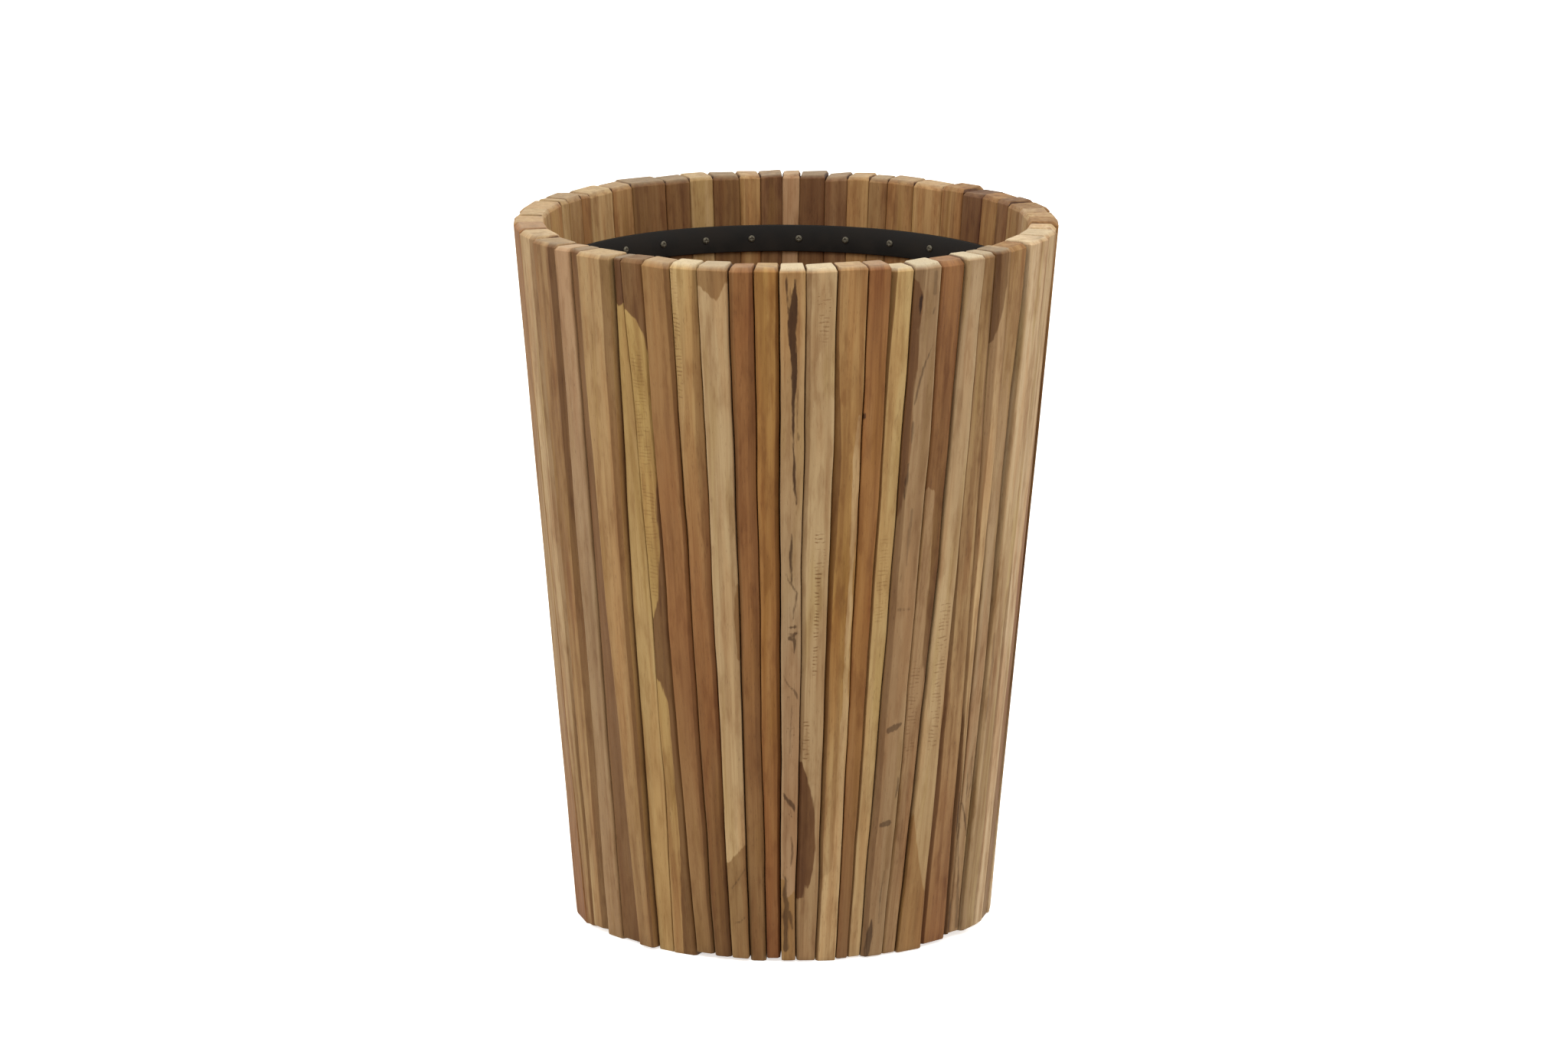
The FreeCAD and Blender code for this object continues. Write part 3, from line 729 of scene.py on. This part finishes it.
def stroke_depth(strokes, place, width):
    """How deep inside the nearest drawn stroke a place is, negative outside, and its strength."""
    deepest, strength = far_away, 0.0
    for stroke_strength, stroke in strokes:
        for (*low_end, half), (*high_end, next_half) in zip(stroke, stroke[1:]):
            start, end = on_face(*low_end, width), on_face(*high_end, width)
            if abs(place.y - start.y) > stroke_reach + abs(end.y - start.y):
                continue
            share = share_of_line(place, start, end)
            radius = (half + (next_half - half) * share) * millimetre
            depth = radius - (place - start.lerp(end, share)).length
            if depth > deepest:
                deepest, strength = depth, stroke_strength
    return deepest, strength


# %% Rings from the foot to the rim
coarse_step, fine_step, finest_step = 12 * millimetre, 3 * millimetre, 2 * millimetre
foot_rounding, foot_ring_share = 1.5 * millimetre, 0.3
# A sloping flat with soft corners: shares of the way up the rounding, and of the way in.
rim_flat_shares = [(0.07, 0.02), (0.16, 0.11), (0.84, 0.8), (0.95, 0.94), (1.0, 1.03)]


def ring_heights(foot, top, rounding, step):
    """Heights of the rings of a slat, each with how far the outline is eased there."""
    low, high = foot + foot_rounding, top - rounding
    second = foot_rounding * foot_ring_share
    rings = [(foot, foot_rounding), (foot + second, second), (low, 0.0)]
    count = round((high - low) / step)
    rings += [(low + (high - low) * index / count, 0.0) for index in range(1, count)]
    rings += [(high - support_distance, 0.0), (high, 0.0)]
    return rings + [(high + rounding * up, rounding * inwards) for up, inwards in rim_flat_shares]


# %% What each vertex carries
amount_names = ("heart", "stain", "stain_share", "saw", "grain", "shade", "sunk", "end")


def layers_of(mesh):
    """The layers that carry a slat's looks: place in the wood, two tones, and the amounts."""
    kinds = mesh.verts.layers
    layers = {"wood": kinds.float_vector.new("wood")}
    layers.update({name: kinds.float_color.new(name) for name in ("tone", "heart_tone")})
    layers.update({name: kinds.float.new(name) for name in amount_names})
    return layers


def slat_tone(number, height):
    """The tone of a slat at a height, between its three."""
    rim, middle, foot = (Vector(linear(tones[name])) for name in slat_tones[number - 1][:3])
    share = clamp(height / planter_height)
    return foot.lerp(middle, share * 2) if share < 0.5 else middle.lerp(rim, share * 2 - 1)


# %% One slat's mesh
rim_rounding, rounding_limit_share = 3.8 * millimetre, 0.3
top_slope, top_slope_reach = 2.0 * millimetre, 30 * millimetre
# How many strips the outer face gets: where strokes are drawn on it, outlines, or nothing.
stained_strips, heartwood_strips, plain_strips = 28, 16, 4
inner_strips = 3
wood_seed = (0.37, 0.11, 0.83)


def add_slat(mesh, layers, number, solid):
    """Builds one slat from a CAD solid and adds it to a bmesh."""
    rows = [(height, corners_cut(solid, height)) for height in slice_heights]
    foot = min(vertex.co.z for vertex in solid.verts)
    top = max(vertex.co.z for vertex in solid.verts)
    heart_name, outlines = heartwood.get(number, ("umber", []))
    if number in stains:
        step, strips = finest_step, stained_strips
    elif outlines:
        step, strips = fine_step, heartwood_strips
    else:
        step, strips = coarse_step, plain_strips
    spans = {side: 1 for side in (left_flank, left_slope, right_slope, right_flank)}
    spans.update({inner_side: inner_strips, face_side: strips})
    top_corners = corners_at(rows, top)
    rounding = rim_rounding * (1 + uneven("rim_rounding", number))
    rounding = min(rounding, rounding_limit_share * (top_corners[7] - top_corners[0]).length)
    top_tilt = top_slope * uneven("top_tilt", number)
    seed = Vector([number * share for share in wood_seed])
    # How much painted shade the joints and flanks of this slat get
    joint_shade_share = open_flank_shade_share if number in open_flank_slats else 1.0
    rings = []
    for height, eased in ring_heights(foot, top, rounding, step):
        shaped = shaped_corners(number, rows, height, eased)
        corners, outer_left, outer_right, shades, falls = shaped
        rightwards = (outer_right - outer_left).normalized()
        outwards = Vector((rightwards.y, -rightwards.x))
        width = (outer_right - outer_left).length
        tone = slat_tone(number, height)
        end = max(0.0, 1 - (top - height) / rounding)
        tilting = max(0.0, 1 - (top - height) / top_slope_reach)
        ring = []
        for point, side in soft_outline(corners, spans):
            across = (point - outer_left).dot(rightwards)
            depth = (point - outer_left).dot(outwards)
            share = across / width
            dip = abs(top_tilt) * (share if top_tilt > 0 else 1 - share) * tilting
            vertex = mesh.verts.new((point.x, point.y, height - max(0.0, dip)))
            place = Vector((across, height))
            stain, stain_share = stroke_depth(stains.get(number, []), place, width)
            rough, rough_share = stroke_depth(chatter.get(number, []), place, width)
            amounts = {
                "heart": heart_depth(outlines, place, width),
                "stain": stain,
                "stain_share": stain_share,
                "saw": rough_share * clamp(0.5 + rough / millimetre),
                "grain": slat_tones[number - 1][3],
                "shade": shades.get(side, 0.0),
                "sunk": joint_shade_share * (-depth - falls[side]) * (1 - end) if side in falls else 0.0,
                "end": end * pale_shares.get(number, usual_pale_share),
            }
            for name, amount in amounts.items():
                vertex[layers[name]] = amount
            vertex[layers["wood"]] = Vector((across - width / 2, depth, height)) + seed
            vertex[layers["tone"]] = tone
            vertex[layers["heart_tone"]] = linear(tones[heart_name])
            ring.append(vertex)
        rings.append(ring)
    close_rings(mesh, rings)


# %% A closed skin that faces outwards
def close_rings(mesh, rings):
    """Joins rings of vertices into a closed skin."""
    loops, skin = [], []
    for ring in rings:
        loops.append([mesh.edges.new(pair) for pair in zip(ring, ring[1:] + ring[:1])])
    for below, above in zip(loops, loops[1:]):
        skin += bmesh.ops.bridge_loops(mesh, edges=below + above)["faces"]
    for loop in (loops[0], loops[-1]):
        end_face = bmesh.ops.edgeloop_fill(mesh, edges=loop)["faces"]
        inset = bmesh.ops.inset_region(
            mesh, faces=end_face, thickness=support_distance, use_even_offset=True
        )
        skin += end_face + inset["faces"]
    face_outwards(mesh, skin)


def face_outwards(mesh, skin):
    """Turns the faces of one closed skin outwards, which gives it a volume above zero."""
    bmesh.ops.recalc_face_normals(mesh, faces=skin)
    volume = sum(face.calc_center_median().dot(face.normal) * face.calc_area() for face in skin)
    if volume < 0:
        bmesh.ops.reverse_faces(mesh, faces=skin)


# %% [markdown]
# ## Teak
# Sawn teak, oiled once and left to dry: a satin to matt surface with cloudy patches, broad streaks
# where the saw crossed the year rings, and faint ridges of the saw. Its IOR is that of wood fibre,
# about 1.5, and its roughness is high. The pattern reads the place in the wood that each vertex
# carries, so it runs through every slat from face to flank to end.

# %% Sockets for what the mesh carries
sawn_teak = bpy.data.materials.new("sawn_teak")
wood_tree = empty_tree(sawn_teak)
carried = {}
for output, names in (
    ("Vector", ["wood"]), ("Color", ["tone", "heart_tone"]), ("Fac", amount_names)
):
    for name in names:
        reader = add_node(wood_tree, "Attribute", {"attribute_name": name})
        carried[name] = reader.outputs[output]

# %% Streaks along the grain
# For each, its width and length in metres and how much finer detail it has.
streak_sizes = {
    # Fibres are a tenth of this width on real teak. They are drawn wider so that they show.
    "fibres": (0.0013, 0.050, 3.0),
    # Year rings cut lengthwise leave bands of about 6 mm.
    "bands": (0.0060, 0.300, 2.0),
    # Where the grain dips in and out of the face it leaves short mottled spots.
    "mottle": (0.0080, 0.035, 3.0),
    # Oil and weather leave cloudy patches a slat wide.
    "clouds": (0.0180, 0.110, 3.0),
    # Resin and sun turn long stretches redder or greener.
    "flush": (0.0150, 0.160, 1.0),
    # Pores are hair-thin grooves up to 8 mm long, drawn 0.8 mm wide.
    "pores": (0.0008, 0.009, 1.0),
    # The edge of the heartwood follows the grain.
    "frayed": (0.0050, 0.050, 3.0),
    "finely_frayed": (0.0020, 0.012, 3.0),
    "chips": (0.0080, 0.005, 2.0),
}
# Each pattern is read at its own place in the noise, so that no two fall together.
pattern_shift = (3.7, 1.3, 2.1)
streaks = {}
for index, (name, (across, along, detail)) in enumerate(streak_sizes.items()):
    stretched = add_node(wood_tree, "Mapping", inputs={
        "Vector": carried["wood"],
        "Location": [index * shift for shift in pattern_shift],
        "Scale": (1 / across, 1 / across, 1 / along),
    })
    streaks[name] = add_node(wood_tree, "TexNoise", inputs={
        "Vector": stretched, "Scale": 1.0, "Detail": detail, "Roughness": 0.6,
    }).outputs["Fac"]
print(len(streaks), "streak patterns")

# %% Sapwood and heartwood
# Sockets of a colour mix: its share, the colour below, the one laid over it, and the result
mix_share, mix_below, mix_above, mixed = 0, 6, 7, 2
# The streaks fray the edge by up to 7 mm.
heart_edge = add_node(wood_tree, "Math", multiply_add, {
    0: streaks["frayed"], 1: 0.007, 2: carried["heart"],
})
heart_mask = add_node(wood_tree, "MapRange", smooth, {
    "Value": heart_edge, "From Min": 0.0026, "From Max": 0.0042,
})
colour = add_node(wood_tree, "Mix", {"data_type": "RGBA"}, {
    mix_share: heart_mask, mix_below: carried["tone"], mix_above: carried["heart_tone"],
}).outputs[mixed]

# %% Layers of streaks over the tone
# Each row is the pattern, where it starts and is full, its share, how it is laid over, and its
# colour. All are as strong as the slat's grain.
streak_layers = [
    ("bands", 0.42, 0.68, 0.45, "MULTIPLY", "b8966a"),
    ("bands", 0.48, 0.28, 0.34, "SCREEN", "4a3f2e"),
    ("mottle", 0.48, 0.68, 0.38, "MULTIPLY", "b5926a"),
    ("clouds", 0.45, 0.68, 0.42, "MULTIPLY", "bd9c72"),
    ("clouds", 0.45, 0.30, 0.32, "SCREEN", "40382a"),
    ("flush", 0.50, 0.68, 0.40, "MULTIPLY", "f0d2b4"),
    ("flush", 0.46, 0.30, 0.50, "MULTIPLY", "e2dcae"),
    ("fibres", 0.42, 0.70, 0.24, "MULTIPLY", "bfa27f"),
]
for pattern, start, full, share, blending, hex_colour in streak_layers:
    spread = add_node(wood_tree, "MapRange", smooth, {
        "Value": streaks[pattern], "From Min": start, "From Max": full, "To Max": share,
    })
    strength = add_node(wood_tree, "Math", multiply, {0: spread, 1: carried["grain"]})
    colour = add_node(wood_tree, "Mix", {"data_type": "RGBA", "blend_type": blending}, {
        mix_share: strength, mix_below: colour, mix_above: linear(hex_colour),
    }).outputs[mixed]

# %% Ragged strokes, ridges of the saw and dots on the ends
# The streaks fray the edge of a stain by up to 3.6 mm.
stain_edge = add_node(wood_tree, "Math", multiply_add, {
    0: streaks["finely_frayed"], 1: 0.0036, 2: carried["stain"],
})
# The teeth of the saw leave ridges about 3.4 mm apart across the grain. A wave texture of scale 1
# repeats every 2 pi / 20.
saw_pitch = 3.4 * millimetre
saw_lines = add_node(wood_tree, "TexWave", {"wave_type": "BANDS", "bands_direction": "Z"}, {
    "Vector": carried["wood"],
    "Scale": 2 * math.pi / 20 / saw_pitch,
    "Distortion": 8.0,
    "Detail": 2.0,
    "Detail Scale": 0.4,
})
# Pores cut across show as dots of about 1.2 mm on the ends, drawn as coarse as they need to show.
pore_dot = 1.2 * millimetre
end_dots = add_node(wood_tree, "TexNoise", inputs={
    "Vector": carried["wood"], "Scale": 1 / pore_dot, "Detail": 2.0,
})

# %% Masks
# Each row is what the mask reads, where it starts and is full, and its share.
mask_steps = {
    "pores": (streaks["pores"], 0.64, 0.74, 0.3),
    "saw": (saw_lines.outputs["Fac"], 0.5, 0.95, 1.0),
    "chips": (streaks["chips"], 0.42, 0.58, 0.75),
    # Freshly cut ends are paler than the faces, and the paleness also paints light on the ends, which face
    # up.
    "pale_lit_end": (carried["end"], 0.0, 1.0, 0.6),
    "end_pores": (end_dots.outputs["Fac"], 0.5, 0.75, 0.5),
    "stain": (stain_edge, 0.0014, 0.0030, 1.0),
    # Painted shade, with some dust and old oil, darkens the joints, from just below the eased edges.
    "joint": (carried["sunk"], 0.0, 0.009, 0.8),
}
masks = {}
for name, (source, start, full, share) in mask_steps.items():
    masks[name] = add_node(wood_tree, "MapRange", smooth, {
        "Value": source, "From Min": start, "From Max": full, "To Max": share,
    })
# Some are weakened by another, or by what the mesh carries. A flat turned from the lamps is painted
# darker, as painted shade, and one turned towards them paler, as painted light.
for name, source, factor in (
    ("chipped_saw", masks["saw"], masks["chips"]),
    ("end_pores", masks["end_pores"], carried["end"]),
    ("stain", masks["stain"], carried["stain_share"]),
    ("shaded_flat", carried["shade"], -2.0),
    ("lit_flat", carried["shade"], 2.0),
):
    masks[name] = add_node(wood_tree, "Math", multiply, {0: source, 1: factor})
masks["saw"] = add_node(wood_tree, "Math", multiply, {0: masks["chipped_saw"], 1: carried["saw"]})

# %% Layers of marks over the streaks
mark_layers = [
    ("pores", "MULTIPLY", "8a6b4a"),
    ("saw", "MULTIPLY", "a5834f"),
    # Painted shade and painted light on the flats
    ("shaded_flat", "MULTIPLY", "a08262"),
    ("lit_flat", "SCREEN", "5a4c38"),
    # Pale end grain, with painted light on the ends that face up
    ("pale_lit_end", "MIX", "d2c8ac"),
    ("end_pores", "MULTIPLY", "9c8262"),
    ("stain", "MULTIPLY", "75624a"),
    # Painted shade, with some dust, in the joints and on sunk flanks
    ("joint", "MULTIPLY", "70461f"),
]
for name, blending, hex_colour in mark_layers:
    settings = {"data_type": "RGBA", "blend_type": blending, "clamp_factor": True}
    colour = add_node(wood_tree, "Mix", settings, {
        mix_share: masks[name], mix_below: colour, mix_above: linear(hex_colour),
    }).outputs[mixed]
print(len(streak_layers) + len(mark_layers), "layers over the tone")

# %% Relief and surface
# Fibres stand out a little. Pores and the marks of the saw are sunk.
fibre_relief = add_node(wood_tree, "Math", multiply_add, {
    0: masks["pores"], 1: -2.5, 2: streaks["fibres"],
})
relief = add_node(wood_tree, "Math", multiply_add, {0: masks["saw"], 1: -1.5, 2: fibre_relief})
bump = add_node(wood_tree, "Bump", inputs={
    "Height": relief, "Strength": 0.35, "Distance": 0.0006,
})
teak_rough = add_node(wood_tree, "MapRange", inputs={
    "Value": streaks["mottle"], "From Min": 0.3, "From Max": 0.7, "To Min": 0.5, "To Max": 0.72,
})
teak_surface = add_node(wood_tree, "BsdfPrincipled", inputs={
    "Base Color": colour,
    "Roughness": teak_rough,
    "Normal": bump,
    "IOR": 1.5,
    "Specular IOR Level": 0.3,
})
add_node(wood_tree, "OutputMaterial", inputs={"Surface": teak_surface})
print("Teak nodes:", len(wood_tree.nodes))

# %% A finished piece
sharp_angle = math.radians(40)


def add_object(name, data):
    """Adds an object with its data to the scene."""
    thing = bpy.data.objects.new(name, data)
    bpy.context.scene.collection.objects.link(thing)
    return thing


def finish_piece(mesh, name, node, material):
    """Turns a bmesh into a piece that stands for a CAD node."""
    for vertex in mesh.verts:
        for axis in range(3):
            vertex.co[axis] = clamp(vertex.co[axis], cad_low[axis], cad_high[axis])
    for face in mesh.faces:
        face.smooth = True
    data = bpy.data.meshes.new(name)
    mesh.to_mesh(data)
    mesh.free()
    data.set_sharp_from_angle(angle=sharp_angle)
    data.materials.append(material)
    piece = add_object(name, data)
    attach(piece, "root")
    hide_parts(node)
    return sum(len(polygon.vertices) - 2 for polygon in data.polygons)


# %% Make every slat and put it in place of its node
slat_nodes = sorted(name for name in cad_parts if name.startswith("slat"))
triangles = 0
for node_name in slat_nodes:
    numbers = [int(part) for part in node_name.split("_")[1:]]
    bar = bmesh.new()
    bar_layers = layers_of(bar)
    for number, solid in zip(numbers, solids_of(node_name)):
        add_slat(bar, bar_layers, number, solid)
        solid.free()
    triangles += finish_piece(bar, "teak_" + node_name, node_name, sawn_teak)
print(len(slat_nodes), "slat pieces,", triangles, "triangles")

# %% [markdown]
# ## Hoops
# Each hoop is 25 mm flat iron, rolled on its flat side into a ring that leans with the wall, welded
# shut and brushed with matt black paint. Rolling leaves the long edges a little rounded, and paint
# fills the corners. A hoop is the same all the way round, so spinning its section suits it: the
# section's corners are read off the CAD model, rounded, and spun through a full turn. The screws'
# heads cover the holes.

# %% Painted iron
# The paint is almost black, with dust on it that makes it paler in patches of about 30 mm. Its IOR
# is that of resin, about 1.5, and brush marks 4 mm wide give it a slight grain.
painted_iron = bpy.data.materials.new("black_painted_iron")
iron_tree = empty_tree(painted_iron)
iron_place = add_node(iron_tree, "TexCoord").outputs["Object"]
brush_marks = add_node(iron_tree, "TexNoise", inputs={
    "Vector": iron_place, "Scale": 1 / 0.004, "Detail": 4.0, "Roughness": 0.6,
})
iron_dust = add_node(iron_tree, "TexNoise", inputs={
    "Vector": iron_place, "Scale": 1 / 0.03, "Detail": 3.0, "Roughness": 0.6,
}).outputs["Fac"]
dust_mask = add_node(iron_tree, "MapRange", smooth, {
    "Value": iron_dust, "From Min": 0.35, "From Max": 0.75,
})
paint_colour = add_node(iron_tree, "Mix", {"data_type": "RGBA"}, {
    mix_share: dust_mask, mix_below: linear("0a0807"), mix_above: linear("1a140f"),
})
paint_rough = add_node(iron_tree, "MapRange", inputs={
    "Value": iron_dust, "From Min": 0.3, "From Max": 0.7, "To Min": 0.5, "To Max": 0.68,
})
paint_bump = add_node(iron_tree, "Bump", inputs={
    "Height": brush_marks.outputs["Fac"], "Strength": 0.2, "Distance": 0.0002,
})
paint = add_node(iron_tree, "BsdfPrincipled", inputs={
    "Base Color": paint_colour.outputs[mixed],
    "Roughness": paint_rough,
    "Normal": paint_bump,
    "IOR": 1.5,
    "Specular IOR Level": 0.3,
})
add_node(iron_tree, "OutputMaterial", inputs={"Surface": paint})

# %% The two hoops
hoop_edge_rounding = 0.6 * millimetre
hoop_steps = 180
section_ways = ((-1, -1), (1, -1), (1, 1), (-1, 1))
for node_name in ("rim_hoop", "base_hoop"):
    section_points = [
        Vector((vertex.co.to_2d().length, vertex.co.z))
        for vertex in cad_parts[node_name].data.vertices
    ]
    hoop = bmesh.new()
    corners = [max(section_points, key=Vector(way).dot) for way in section_ways]
    hoop.faces.new([hoop.verts.new((corner.x, 0, corner.y)) for corner in corners])
    bmesh.ops.bevel(
        hoop,
        geom=hoop.verts[:],
        offset=hoop_edge_rounding,
        offset_type="OFFSET",
        segments=3,
        profile=0.5,
        affect="VERTICES",
        material=-1,
    )
    bmesh.ops.delete(hoop, geom=hoop.faces[:], context="FACES_ONLY")
    bmesh.ops.spin(
        hoop,
        geom=hoop.verts[:] + hoop.edges[:],
        cent=(0, 0, 0),
        axis=(0, 0, 1),
        angle=2 * math.pi,
        steps=hoop_steps,
        use_merge=True,
    )
    face_outwards(hoop, hoop.faces[:])
    count = finish_piece(hoop, "painted_" + node_name, node_name, painted_iron)
    print(node_name, "at", round(corners[0].y, 3), "m,", count, "triangles")

# %% [markdown]
# ## Screws
# Zinc-plated screws with round heads and a cross slot. They are turned, stamped and rolled in a
# factory, so the CAD solids already have their true shape: their triangles are joined, shaded
# smooth, and kept sharp at the slot and under the head. Years outdoors turn bright zinc dull, so
# the metal is rough and grey, in spots of about 2 mm.

# %% Zinc-plated steel
zinc = bpy.data.materials.new("zinc_plated_steel")
zinc_tree = empty_tree(zinc)
zinc_place = add_node(zinc_tree, "TexCoord").outputs["Object"]
tarnish = add_node(zinc_tree, "TexNoise", inputs={
    "Vector": zinc_place, "Scale": 1 / 0.002, "Detail": 3.0,
}).outputs["Fac"]
zinc_colour = add_node(zinc_tree, "Mix", {"data_type": "RGBA"}, {
    mix_share: tarnish, mix_below: linear("4a463e"), mix_above: linear("8a8577"),
})
zinc_rough = add_node(zinc_tree, "MapRange", inputs={
    "Value": tarnish, "To Min": 0.55, "To Max": 0.75,
})
zinc_surface = add_node(zinc_tree, "BsdfPrincipled", inputs={
    "Base Color": zinc_colour.outputs[mixed], "Metallic": 1.0, "Roughness": zinc_rough,
})
add_node(zinc_tree, "OutputMaterial", inputs={"Surface": zinc_surface})

# %% The screws
for node_name in ("rim_hoop_screws", "base_hoop_screws", "floor_screws"):
    count = finish_piece(joined_copy(node_name), "zinc_" + node_name, node_name, zinc)
    print(node_name, count, "triangles")

# %% [markdown]
# ## Floor
# Five boards with gaps for the water, tied together from below by two battens. They are cut from
# the same teak as the slats but nobody sees them from outside, so they stay rough from the saw. The
# CAD solids are joined up, flat triangles are merged into whole faces, and the long edges are
# bevelled. Their grain runs along the boards, so their place in the wood is turned that way.

# %% Boards and battens
board_edge = 0.9 * millimetre
shortest_edge = 6 * millimetre
edge_angle = math.radians(30)
flat_angle = math.radians(1)
floor_grain, floor_saw = 1.1, 0.5
floor_tones = {
    "floor_board_1": "clay",
    "floor_board_2": "hazel",
    "floor_board_3": "tan",
    "floor_board_4": "cinnamon",
    "floor_board_5": "fawn",
    "floor_batten_left": "hazel",
    "floor_batten_right": "walnut",
}
for number, (node_name, tone_name) in enumerate(floor_tones.items()):
    plank = joined_copy(node_name)
    bmesh.ops.dissolve_limit(
        plank, angle_limit=flat_angle, verts=plank.verts[:], edges=plank.edges[:]
    )
    edges = [
        edge
        for edge in plank.edges
        if edge.calc_length() > shortest_edge and edge.calc_face_angle(0.0) > edge_angle
    ]
    bmesh.ops.bevel(
        plank,
        geom=edges,
        offset=board_edge,
        offset_type="OFFSET",
        segments=2,
        profile=0.5,
        affect="EDGES",
        clamp_overlap=True,
        material=-1,
    )
    face_outwards(plank, plank.faces[:])
    plank_layers = layers_of(plank)
    plank_seed = Vector((number * 0.41, 0.5, number * 0.29))
    same_all_over = {
        "tone": linear(tones[tone_name]),
        "heart": far_away,
        "stain": far_away,
        "grain": floor_grain,
        "saw": floor_saw,
    }
    for vertex in plank.verts:
        x, y, z = vertex.co
        turned = Vector((y, z, x)) if "board" in node_name else Vector((x, z, y))
        vertex[plank_layers["wood"]] = turned + plank_seed
        for name, value in same_all_over.items():
            vertex[plank_layers[name]] = value
    count = finish_piece(plank, "teak_" + node_name, node_name, sawn_teak)
    print(node_name, len(edges), "edges bevelled,", count, "triangles")

# %% [markdown]
# ## Studio
# The planter stands on a white sheet that runs on behind it, as in a catalogue. The sheet glows a
# little by itself and lights nothing, so it stays white and the foot of the planter keeps its own
# colour.

# %% White sheet
sheet_mesh = bmesh.new()
bmesh.ops.create_grid(sheet_mesh, x_segments=1, y_segments=1, size=30)
sheet = bpy.data.meshes.new("white_sheet")
sheet_mesh.to_mesh(sheet)
sheet_mesh.free()
white_sheet = add_object("white_sheet", sheet)
white_sheet.visible_diffuse = False
white_sheet.visible_glossy = False
paper = bpy.data.materials.new("white_paper")
paper_tree = empty_tree(paper)
paper_face = add_node(paper_tree, "BsdfPrincipled", inputs={
    "Base Color": linear("f7f6f4"),
    "Roughness": 0.9,
    "Emission Color": linear("ffffff"),
    "Emission Strength": 0.6,
})
add_node(paper_tree, "OutputMaterial", inputs={"Surface": paper_face})
sheet.materials.append(paper)

# %% [markdown]
# ## Light
# The shadows in the photograph are very soft, so most of the light comes from a bright room all
# round: brightest above, and bright at both sides, where large reflectors would stand. Three
# softboxes add a little direction. The room's light depends only on the direction: it rises
# smoothly with height, and above the floor it also grows towards both sides.

# %% The room
world = bpy.data.worlds.new("studio")
room_tree = empty_tree(world)
direction = add_node(room_tree, "TexCoord").outputs["Generated"]
parts = add_node(room_tree, "SeparateXYZ", inputs={0: direction}).outputs
from_above = add_node(room_tree, "MapRange", smooth, {
    "Value": parts["Z"], "From Min": -0.1, "From Max": 0.9, "To Min": 0.58, "To Max": 1.15,
})
above_floor = add_node(room_tree, "MapRange", smooth, {
    "Value": parts["Z"], "From Min": -0.4, "From Max": 0.1,
})
from_sides = add_node(room_tree, "Math", {"operation": "POWER"}, {0: parts["X"], 1: 2.0})
sides = add_node(room_tree, "Math", multiply, {0: from_sides, 1: above_floor})
room_light = add_node(room_tree, "Math", {"operation": "ADD"}, {0: from_above, 1: sides})
glow = add_node(room_tree, "Background", inputs={
    "Color": linear("fffcf5"), "Strength": room_light,
})
add_node(room_tree, "OutputWorld", inputs={"Surface": glow})
bpy.context.scene.world = world

# %% Softboxes
lit_point = Vector((0, 0, planter_height / 2))
# For each: its place, its width and height in metres, and its power in watts.
softboxes = {
    "left_softbox": ((-2.6, -0.6, 1.3), (1.6, 2.2), 12),
    "right_softbox": ((2.6, -0.9, 1.4), (1.6, 2.2), 9),
    "front_softbox": ((0.0, -1.9, 3.5), (2.5, 1.8), 40),
}
for name, (place, size, power) in softboxes.items():
    light = bpy.data.lights.new(name, "AREA")
    light.shape = "RECTANGLE"
    light.size, light.size_y = size
    light.energy = power
    softbox = add_object(name, light)
    softbox.location = place
    softbox.rotation_mode = "QUATERNION"
    softbox.rotation_quaternion = (Vector(place) - lit_point).to_track_quat("Z", "Y")
print("Lights:", [light.name for light in bpy.data.lights])

# %% [markdown]
# ## Camera
# The photograph was taken from far away with a long lens, a little above the rim. The distance and
# the angle were found from the ellipse of the rim and the sides of the wall.

# %% The photograph's view
photo_width = 2048
focal_pixels = 10123
camera_place = (-0.0008, -7.0, 1.95)
down_turn, roll = math.radians(90 - 12.74), math.radians(0.27)
camera_data = bpy.data.cameras.new("camera")
camera_data.sensor_width = 36
camera_data.lens = camera_data.sensor_width * focal_pixels / photo_width
camera_data.clip_end = 100
camera = add_object("camera", camera_data)
camera.matrix_world = (
    Matrix.Translation(camera_place)
    @ Matrix.Rotation(down_turn, 4, "X")
    @ Matrix.Rotation(roll, 4, "Z")
)
bpy.context.scene.camera = camera
bpy.context.scene.view_settings.view_transform = "Standard"
print("Lens", round(camera_data.lens, 1), "mm")
